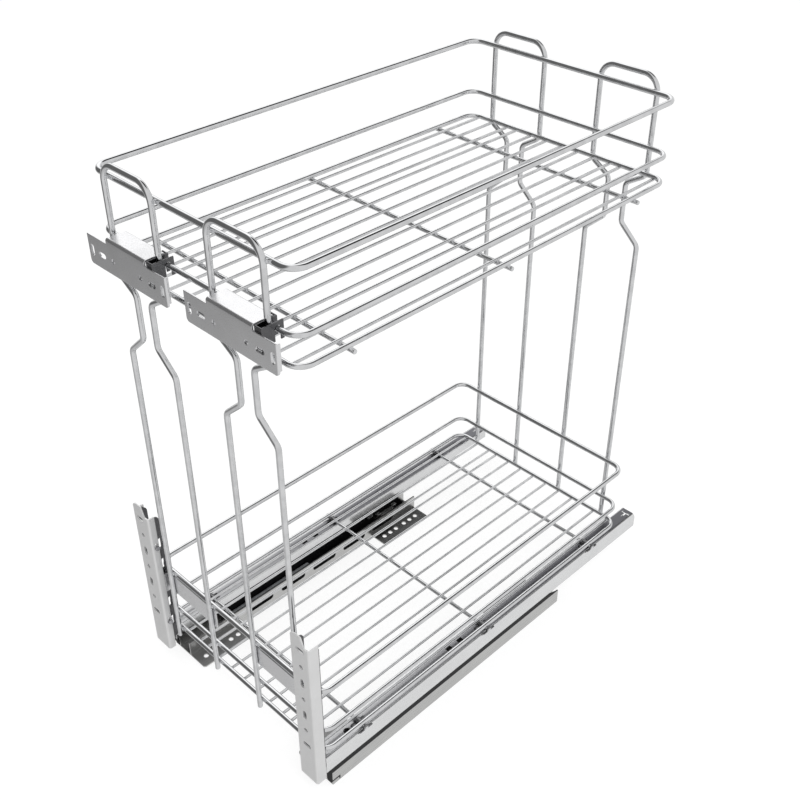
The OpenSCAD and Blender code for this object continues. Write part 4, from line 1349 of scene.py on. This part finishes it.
@dataclass
class DoorBracket:
    """The lower bracket that a cabinet door is screwed to: a channel with a tongue and seven holes.

    Attributes:
        side: Which side of the cabinet it stands on.
        outer_x: Distance of its outer face from the cabinet's middle.
        face_y: The plane that touches the door.
        foot_z: Its lower end.
        width: Its width.
        height: Its height up to the shoulder.
        thickness: The sheet's thickness.
        outer_flange: Depth of the outer flange, over the face.
        inner_flange: Depth of the inner flange.
        tongue_w: Width of the tongue at its top.
        tongue_h: Height of the tongue above the shoulder.
        tongue_r: Radius of the tongue's rounded corner.
        slant: How much wider the tongue is at its foot.
        hole_inset: Distance of the hole row from the outer face.
        hole_z: Height of the top hole.
        hole_pitch: Distance between holes.
        hole_count: Number of holes. Slots and round holes take turns, and the end slots lie level.
        slot: Length and width of its slots.
        hole_d: Diameter of its round holes.
        screw_y: Where the adjusting screws pass through the inner flange.
        screw_z: Their heights.
        screw_hole_d: Diameter of their holes.
        fold_r: Fold radius of the flanges.
    """

    side: Side
    outer_x: float = 126.0
    face_y: float = -244.5
    foot_z: float = 21.25
    width: float = 24.0
    height: float = 175.0
    thickness: float = 1.5
    outer_flange: float = 11.0
    inner_flange: float = 7.5
    tongue_w: float = 14.0
    tongue_h: float = 10.5
    tongue_r: float = 8.0
    slant: float = 4.0
    hole_inset: float = 11.0
    hole_z: float = 190.85
    hole_pitch: float = 20.4
    hole_count: int = 7
    slot: tuple[float, float] = (10.0, 4.5)
    hole_d: float = 4.6
    screw_y: float = -239.7
    screw_z: tuple[float, float] = (62.5, 162.5)
    screw_hole_d: float = 3.2
    fold_r: float = 1.6

    @staticmethod
    def on_face(x: float, z: float, y: float) -> Point:
        """The place of a point of the face at a depth."""
        return x, y, z

    def build(self) -> None:
        """Folds the channel, cuts its head to the tongue, punches it and mounts it."""
        t, s = self.thickness, self.side.value
        mid = self.face_y + t / 2
        shoulder = self.foot_z + self.height
        near, far = t / 2, self.width - t / 2
        path = [(near, self.face_y + self.outer_flange), (near, mid), (far, mid),
                (far, self.face_y + self.inner_flange)]
        channel = FoldedSheet(path, [self.fold_r] * 2, self.foot_z, shoulder + self.tongue_h, t,
                              lambda a, b, c: (s * (self.outer_x - a), b, c))
        piece = channel.form(f"{self.side.word}_door_bracket_piece")
        left = -self.outer_x if self.side is Side.LEFT else self.outer_x - self.width
        top, over = shoulder + self.tongue_h, PUNCH_REACH
        right = left + self.width + over
        face, back = self.face_y - PUNCH_REACH, self.face_y + self.outer_flange + PUNCH_REACH
        outlines = [[(left + self.tongue_w, top + over), (left + self.tongue_w, top),
                     (left + self.tongue_w + self.slant, shoulder), (right, shoulder), (right, top + over)],
                    rounding_waste(left, top, self.tongue_r, 1, -1)]
        hole_x = s * (self.outer_x - self.hole_inset)
        for k in range(self.hole_count):
            z = self.hole_z - k * self.hole_pitch
            if k % 2:
                outlines.append(round_outline(hole_x, z, self.hole_d))
            else:
                outlines.append(slot_outline(hole_x, z, *self.slot, upright=0 < k < self.hole_count - 1))
        tools = [prism(o, self.on_face, face, self.face_y + 2 * t) for o in outlines[1:]]
        tools.append(prism(outlines[0], self.on_face, face, back))
        behind = [(left - over, shoulder), (right, shoulder), (right, top + over), (left - over, top + over)]
        tools.append(prism(behind, self.on_face, self.face_y + t, back))
        inner = s * (self.outer_x - self.width)
        screw_holes = [round_outline(self.screw_y, z, self.screw_hole_d) for z in self.screw_z]
        tools += [prism(o, lambda a, b, c: (inner + s * c, a, b), -PUNCH_REACH, t + PUNCH_REACH)
                  for o in screw_holes]
        combine(piece, tools)
        mount(shade_sheet(piece), BRACKET_STEEL, "carriage", f"{self.side.word}_door_bracket")


@dataclass
class DrawerRail:
    """The rolled rail that carries the basket, with its hole, windows, rear mark and tab.

    Attributes:
        side: Which side of the cabinet it runs on.
        outer_x: Distance of its outer wall from the cabinet's middle.
        front: Its front end.
        back: Its rear end.
        top: Its upper face.
        width: Its width.
        thickness: The sheet's thickness.
        skirt_foot: Lower edge of the outer wall.
        inner_foot: Lower face of the inner wall's lip.
        lip: Width of that lip.
        outer_r: Fold radius of the outer shoulder, at the sheet's middle.
        inner_r: Fold radius of the inner shoulder.
        lip_r: Fold radius of the lip.
        hole: Place across, distance from the front and diameter of the round hole.
        windows: Place across, first distance from the front, pitch, width and length of the two windows.
        mark: Distance from the rear end, bar length, stem length and line width of the T-shaped mark.
        tab: Start, end and lower edge of the tab that the catch takes hold of.
        tab_root: How far below the top the tab is let into the wall.
        punch_depth: How deep the punches reach through the top.
    """

    side: Side
    outer_x: float = 123.5
    front: float = -230.8
    back: float = 244.5
    top: float = 40.5
    width: float = 18.0
    thickness: float = 1.2
    skirt_foot: float = 23.5
    inner_foot: float = 28.5
    lip: float = 3.0
    outer_r: float = 4.2
    inner_r: float = 1.4
    lip_r: float = 0.9
    hole: Point = (11.5, 36.0, 7.0)
    windows: tuple[float, float, float, float, float] = (12.5, 176.0, 16.0, 6.0, 7.0)
    mark: tuple[float, float, float, float] = (5.0, 10.0, 9.0, 2.0)
    tab: tuple[float, float, float] = (38.0, 46.0, 18.5)
    tab_root: float = 6.0
    punch_depth: float = 3.0

    def spot(self, u: float, z: float, y: float) -> Point:
        """The place of a point u across the rail, at a height and a length."""
        return self.side.value * (self.outer_x - u), y, z

    def build(self) -> None:
        """Rolls the rail, punches its top and mounts it."""
        t = self.thickness
        mid = self.top - t / 2
        path = [(t / 2, self.skirt_foot), (t / 2, mid), (self.width - t / 2, mid),
                (self.width - t / 2, self.inner_foot + t / 2),
                (self.width - t - self.lip, self.inner_foot + t / 2)]
        radii = [self.outer_r, self.inner_r, self.lip_r]
        rail = FoldedSheet(path, radii, self.front, self.back, t, self.spot)
        piece = rail.form(f"{self.side.word}_drawer_rail_piece")
        start, end, foot = self.tab
        root = self.top - self.tab_root
        wall = [(self.width - t, foot), (self.width, foot), (self.width, root), (self.width - t, root)]
        combine(piece, [prism(wall, self.spot, start, end)], "UNION")
        u, y, d = self.hole
        outlines = [round_outline(u, self.front + y, d)]
        u, y, pitch, width, length = self.windows
        for middle in (self.front + y, self.front + y + pitch):
            outlines.append([(u + a * width / 2, middle + b * length / 2)
                             for a, b in ((-1, -1), (1, -1), (1, 1), (-1, 1))])
        inset, bar, stem, w = self.mark
        u, y = self.width / 2, self.back - inset
        outlines.append([(u - bar / 2, y), (u - bar / 2, y - w), (u - w / 2, y - w), (u - w / 2, y - stem),
                         (u + w / 2, y - stem), (u + w / 2, y - w), (u + bar / 2, y - w), (u + bar / 2, y)])
        low, high = self.top - self.punch_depth, self.top + PUNCH_REACH
        combine(piece, [prism(o, lambda a, b, c: self.spot(a, c, b), low, high) for o in outlines])
        mount(shade_sheet(piece), RAIL_STEEL, "carriage", f"{self.side.word}_drawer_rail")


@dataclass
class Dressed:
    """A CAD node whose shape is right, taken over with its edges rounded.

    Attributes:
        node: The node.
        finish: Its finish.
        body: The CAD body that it moves with.
        radius: Width of the rounding.
        angle: Least angle, in degrees, of an edge that is rounded.
    """

    node: str
    finish: Finish
    body: str
    radius: float = 0.3
    angle: float = 35.0

    def build(self) -> None:
        """Copies the node, breaks its edges and mounts the copy."""
        piece = copy_of_node(self.node, f"{self.node}_piece")
        break_edges(piece, self.radius, self.angle)
        smooth(piece, COPY_CREASE)
        flatten_shading(piece)
        mount(piece, self.finish, self.body, self.node)


def dressed_pieces() -> list[Dressed]:
    """Lists the CAD nodes that are carried over with rounded edges.

    Returns:
        The nodes, each with its finish and body.
    """
    pieces = []
    for side in Side:
        word = side.word
        # The plate clips and adjusters take a near-black colour as painted shade.
        carriage = [("plate_clip", PAINTED_SHADE_STEEL, 0.3), ("adjuster", PAINTED_SHADE_STEEL, 0.3), ("arm", SATIN_STEEL, 0.4),
                    ("bracket_screws", SCREW_STEEL, 0.3), ("wire_clips", CLIP_STEEL, 0.3)]
        root = [("cabinet_rail", BASE_STEEL, 0.4), ("guide_strip", BLACK_PLASTIC, 0.25),
                ("front_cap", BLACK_PLASTIC, 0.25), ("soft_close_housing", BLACK_PLASTIC, 0.3),
                ("damper", GREY_PLASTIC, 0.3)]
        pieces += [Dressed(f"{word}_{n}", f, "carriage", r) for n, f, r in carriage]
        pieces += [Dressed(f"{word}_{n}", f, "root", r) for n, f, r in root]
        pieces += [Dressed(f"{word}_middle_rail", MIDDLE_STEEL, f"{word}_middle", 0.3),
                   Dressed(f"{word}_lower_cage", BLACK_PLASTIC, f"{word}_lower_rolling", 0.25),
                   Dressed(f"{word}_upper_cage", BLACK_PLASTIC, f"{word}_upper_rolling", 0.25),
                   Dressed(f"{word}_lower_rollers", ROLLER_STEEL, f"{word}_lower_rolling", 0.25),
                   Dressed(f"{word}_upper_rollers", ROLLER_STEEL, f"{word}_upper_rolling", 0.25),
                   Dressed(f"{word}_catch", BASE_STEEL, f"{word}_soft_close", 0.3),
                   Dressed(f"{word}_damper_rod", SCREW_STEEL, f"{word}_soft_close", 0.2)]
    return pieces


# ---- Studio ----


@dataclass(frozen=True)
class Panel:
    """A round softbox or dark card of the studio, seen only in the metal.

    Attributes:
        azimuth: Where its middle lies, in degrees from +X towards +Y.
        elevation: How high its middle lies, in degrees.
        full: Degrees from the middle within which it has its whole tone.
        edge: Degrees from the middle where it ends.
        tone: Its brightness.
    """

    azimuth: float
    elevation: float
    full: float
    edge: float
    tone: float

    def lay(self, nodes: Nodes, way: NodeSocket, under: object) -> NodeSocket:
        """Lays the panel over the tone under it.

        Args:
            nodes: The world's nodes.
            way: The way that is looked.
            under: The tone so far.

        Returns:
            The new tone.
        """
        turn, rise = math.radians(self.azimuth), math.radians(self.elevation)
        middle = (math.cos(turn) * math.cos(rise), math.sin(turn) * math.cos(rise), math.sin(rise))
        edge, full = math.cos(math.radians(self.edge)), math.cos(math.radians(self.full))
        share = nodes.ramp(nodes.dot(way, middle), edge, full)
        return nodes.add("Mix", in_0=share, in_2=under, in_3=self.tone).outputs[0]


@dataclass(frozen=True)
class Lamp:
    """A soft square lamp that the metal doesn't mirror.

    Attributes:
        name: Its name.
        place: Where it hangs, in metres.
        size: Its width, in metres.
        power: Its power, in watts.
    """

    name: str
    place: Point
    size: float
    power: float

    def hang(self, aim: Point) -> None:
        """Hangs the lamp and points it.

        Args:
            aim: The place that it looks at, in metres.
        """
        data = bpy.data.lights.new(self.name, "AREA")
        data.shape, data.size, data.energy = "SQUARE", self.size, self.power
        lamp = bpy.data.objects.new(self.name, data)
        bpy.context.scene.collection.objects.link(lamp)
        lamp.location = self.place
        lamp.visible_glossy = False
        lamp.rotation_euler = (Vector(self.place) - Vector(aim)).to_track_quat("Z", "Y").to_euler()


@dataclass
class Studio:
    """The floor, the soft light and the camera.

    Attributes:
        azimuth: Where the camera stands, in degrees from -Y towards +X.
        elevation: How high it stands, in degrees.
        roll: How it is turned about its view, in degrees.
        lens: Its focal length, in millimetres.
        sensor: Its sensor's width, in millimetres.
        clip: The nearest and the farthest that it sees, in metres.
        eye: Its place, in millimetres.
        aim: The basket's middle, in metres.
        floor_size: The floor's width, in metres.
        floor_tone: How much light the floor gives back to the object.
        floor_shown: How much of the light on it the camera sees.
        floor_glow: Its own glow in the camera, which leaves it white beside the shadow.
        dome: Brightness of the even light.
        backdrop: Brightness of what the camera sees behind the object.
        walls: Brightness of what the metal sees between the panels.
        panels: The softboxes and cards.
        lamps: The lamps.
    """

    azimuth: float = 45.22
    elevation: float = 35.39
    roll: float = -0.17
    lens: float = 49.71
    sensor: float = 36.0
    clip: tuple[float, float] = (0.05, 50.0)
    eye: Point = (614.2, -622.8, 884.15)
    aim: Point = (0.0, 0.0, 0.25)
    floor_size: float = 9.0
    floor_tone: float = 0.8
    floor_shown: float = 0.3
    floor_glow: float = 0.76
    dome: float = 0.78
    backdrop: float = 1.0
    walls: float = 0.76
    panels: tuple[Panel, ...] = (Panel(148, 36, 18, 38, 1.3), Panel(88, 59, 14, 30, 0.02),
                                 Panel(-142, -38, 24, 52, 0.56), Panel(-136, 20, 40, 62, 0.14),
                                 Panel(130, -30, 12, 32, 0.1))
    lamps: tuple[Lamp, ...] = (Lamp("key_lamp", (1.6, -0.6, 2.2), 1.4, 22.0),
                               Lamp("fill_lamp", (-1.2, -1.8, 1.6), 1.6, 8.0))

    def camera(self) -> None:
        """Puts the camera where the photograph was taken from."""
        data = bpy.data.cameras.new("camera")
        data.lens, data.sensor_width = self.lens, self.sensor
        data.clip_start, data.clip_end = self.clip
        camera = bpy.data.objects.new("camera", data)
        bpy.context.scene.collection.objects.link(camera)
        turn, rise = math.radians(self.azimuth), math.radians(self.elevation)
        back = Vector((math.sin(turn) * math.cos(rise), -math.cos(turn) * math.cos(rise), math.sin(rise)))
        right = Vector((math.cos(turn), math.sin(turn), 0.0))
        frame = Matrix((right, back.cross(right), back)).transposed()
        frame = frame @ Matrix.Rotation(math.radians(self.roll), 3, "Z")
        camera.matrix_world = Matrix.Translation(Vector(self.eye) * MM) @ frame.to_4x4()
        bpy.context.scene.camera = camera

    @staticmethod
    def grey(level: float) -> tuple[float, float, float, float]:
        """The opaque grey of a level."""
        return level, level, level, 1.0

    @staticmethod
    def to_camera(nodes: Nodes, path: Node) -> NodeSocket:
        """1 for what the camera sees straight or through something clear, or else 0."""
        return nodes.plus(path.outputs["Is Camera Ray"], path.outputs["Is Transmission Ray"], clamp=True)

    def floor(self) -> None:
        """Lays a floor that the camera sees white, with the object's shadow, and the metal doesn't see."""
        deselect()
        bpy.ops.mesh.primitive_grid_add(x_subdivisions=8, y_subdivisions=8, size=self.floor_size)
        floor = name_piece(bpy.context.object, "studio_floor")
        material = bpy.data.materials.new("studio floor")
        material.use_nodes = True
        nodes = Nodes(material.node_tree)
        paint = nodes.add("BsdfDiffuse", in_Color=self.grey(self.floor_tone))
        pale = nodes.add("BsdfDiffuse", in_Color=self.grey(self.floor_shown))
        glow = nodes.add("Emission", in_Color=self.grey(1.0), in_Strength=self.floor_glow)
        both = nodes.add("AddShader", in_0=pale.outputs[0], in_1=glow.outputs[0])
        path = nodes.add("LightPath")
        lit = nodes.add("MixShader", in_0=self.to_camera(nodes, path), in_1=paint.outputs[0],
                        in_2=both.outputs[0])
        through = nodes.add("BsdfTransparent")
        shown = nodes.add("MixShader", in_0=path.outputs["Is Glossy Ray"], in_1=lit.outputs[0],
                          in_2=through.outputs[0])
        nodes.add("OutputMaterial", in_Surface=shown.outputs[0])
        floor.data.materials.append(material)

    def world(self) -> None:
        """Lights the scene with an even dome. The metal sees the studio's panels and walls instead."""
        world = bpy.data.worlds.new("studio")
        bpy.context.scene.world = world
        world.use_nodes = True
        nodes = Nodes(world.node_tree)
        way = nodes.add("TexCoord").outputs["Generated"]
        tone: object = self.walls
        for panel in self.panels:
            tone = panel.lay(nodes, way, tone)
        plain, white, walls = (nodes.add("Background", in_Color=self.grey(1.0), in_Strength=level).outputs[0]
                               for level in (self.dome, self.backdrop, tone))
        path = nodes.add("LightPath")
        shiny = nodes.add("MixShader", in_0=path.outputs["Is Glossy Ray"], in_1=plain, in_2=walls)
        shown = nodes.add("MixShader", in_0=self.to_camera(nodes, path), in_1=shiny.outputs[0], in_2=white)
        nodes.add("OutputWorld", in_Surface=shown.outputs[0])

    def build(self) -> None:
        """Sets the stage, the light and the camera."""
        self.floor()
        self.world()
        for lamp in self.lamps:
            lamp.hang(self.aim)
        self.camera()
        bpy.context.scene.view_settings.view_transform = "Standard"


def corners(box: tuple[Vector, Vector]) -> list[list[float]]:
    """A box's two corners as plain lists."""
    return [[round(c, 6) for c in corner] for corner in box]


def main() -> None:
    """Builds every piece on the frame."""
    logging.basicConfig(level=logging.INFO, format="%(message)s")
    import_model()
    Studio().build()
    Basket("lower", 46.75).build()
    Basket("upper", 461.85).build()
    for side in Side:
        for end in End:
            Upright(side, end).build()
        DoorPlate(side).build()
        DoorBracket(side).build()
        DrawerRail(side).build()
    for piece in dressed_pieces():
        piece.build()


if __name__ == "__main__":
    main()
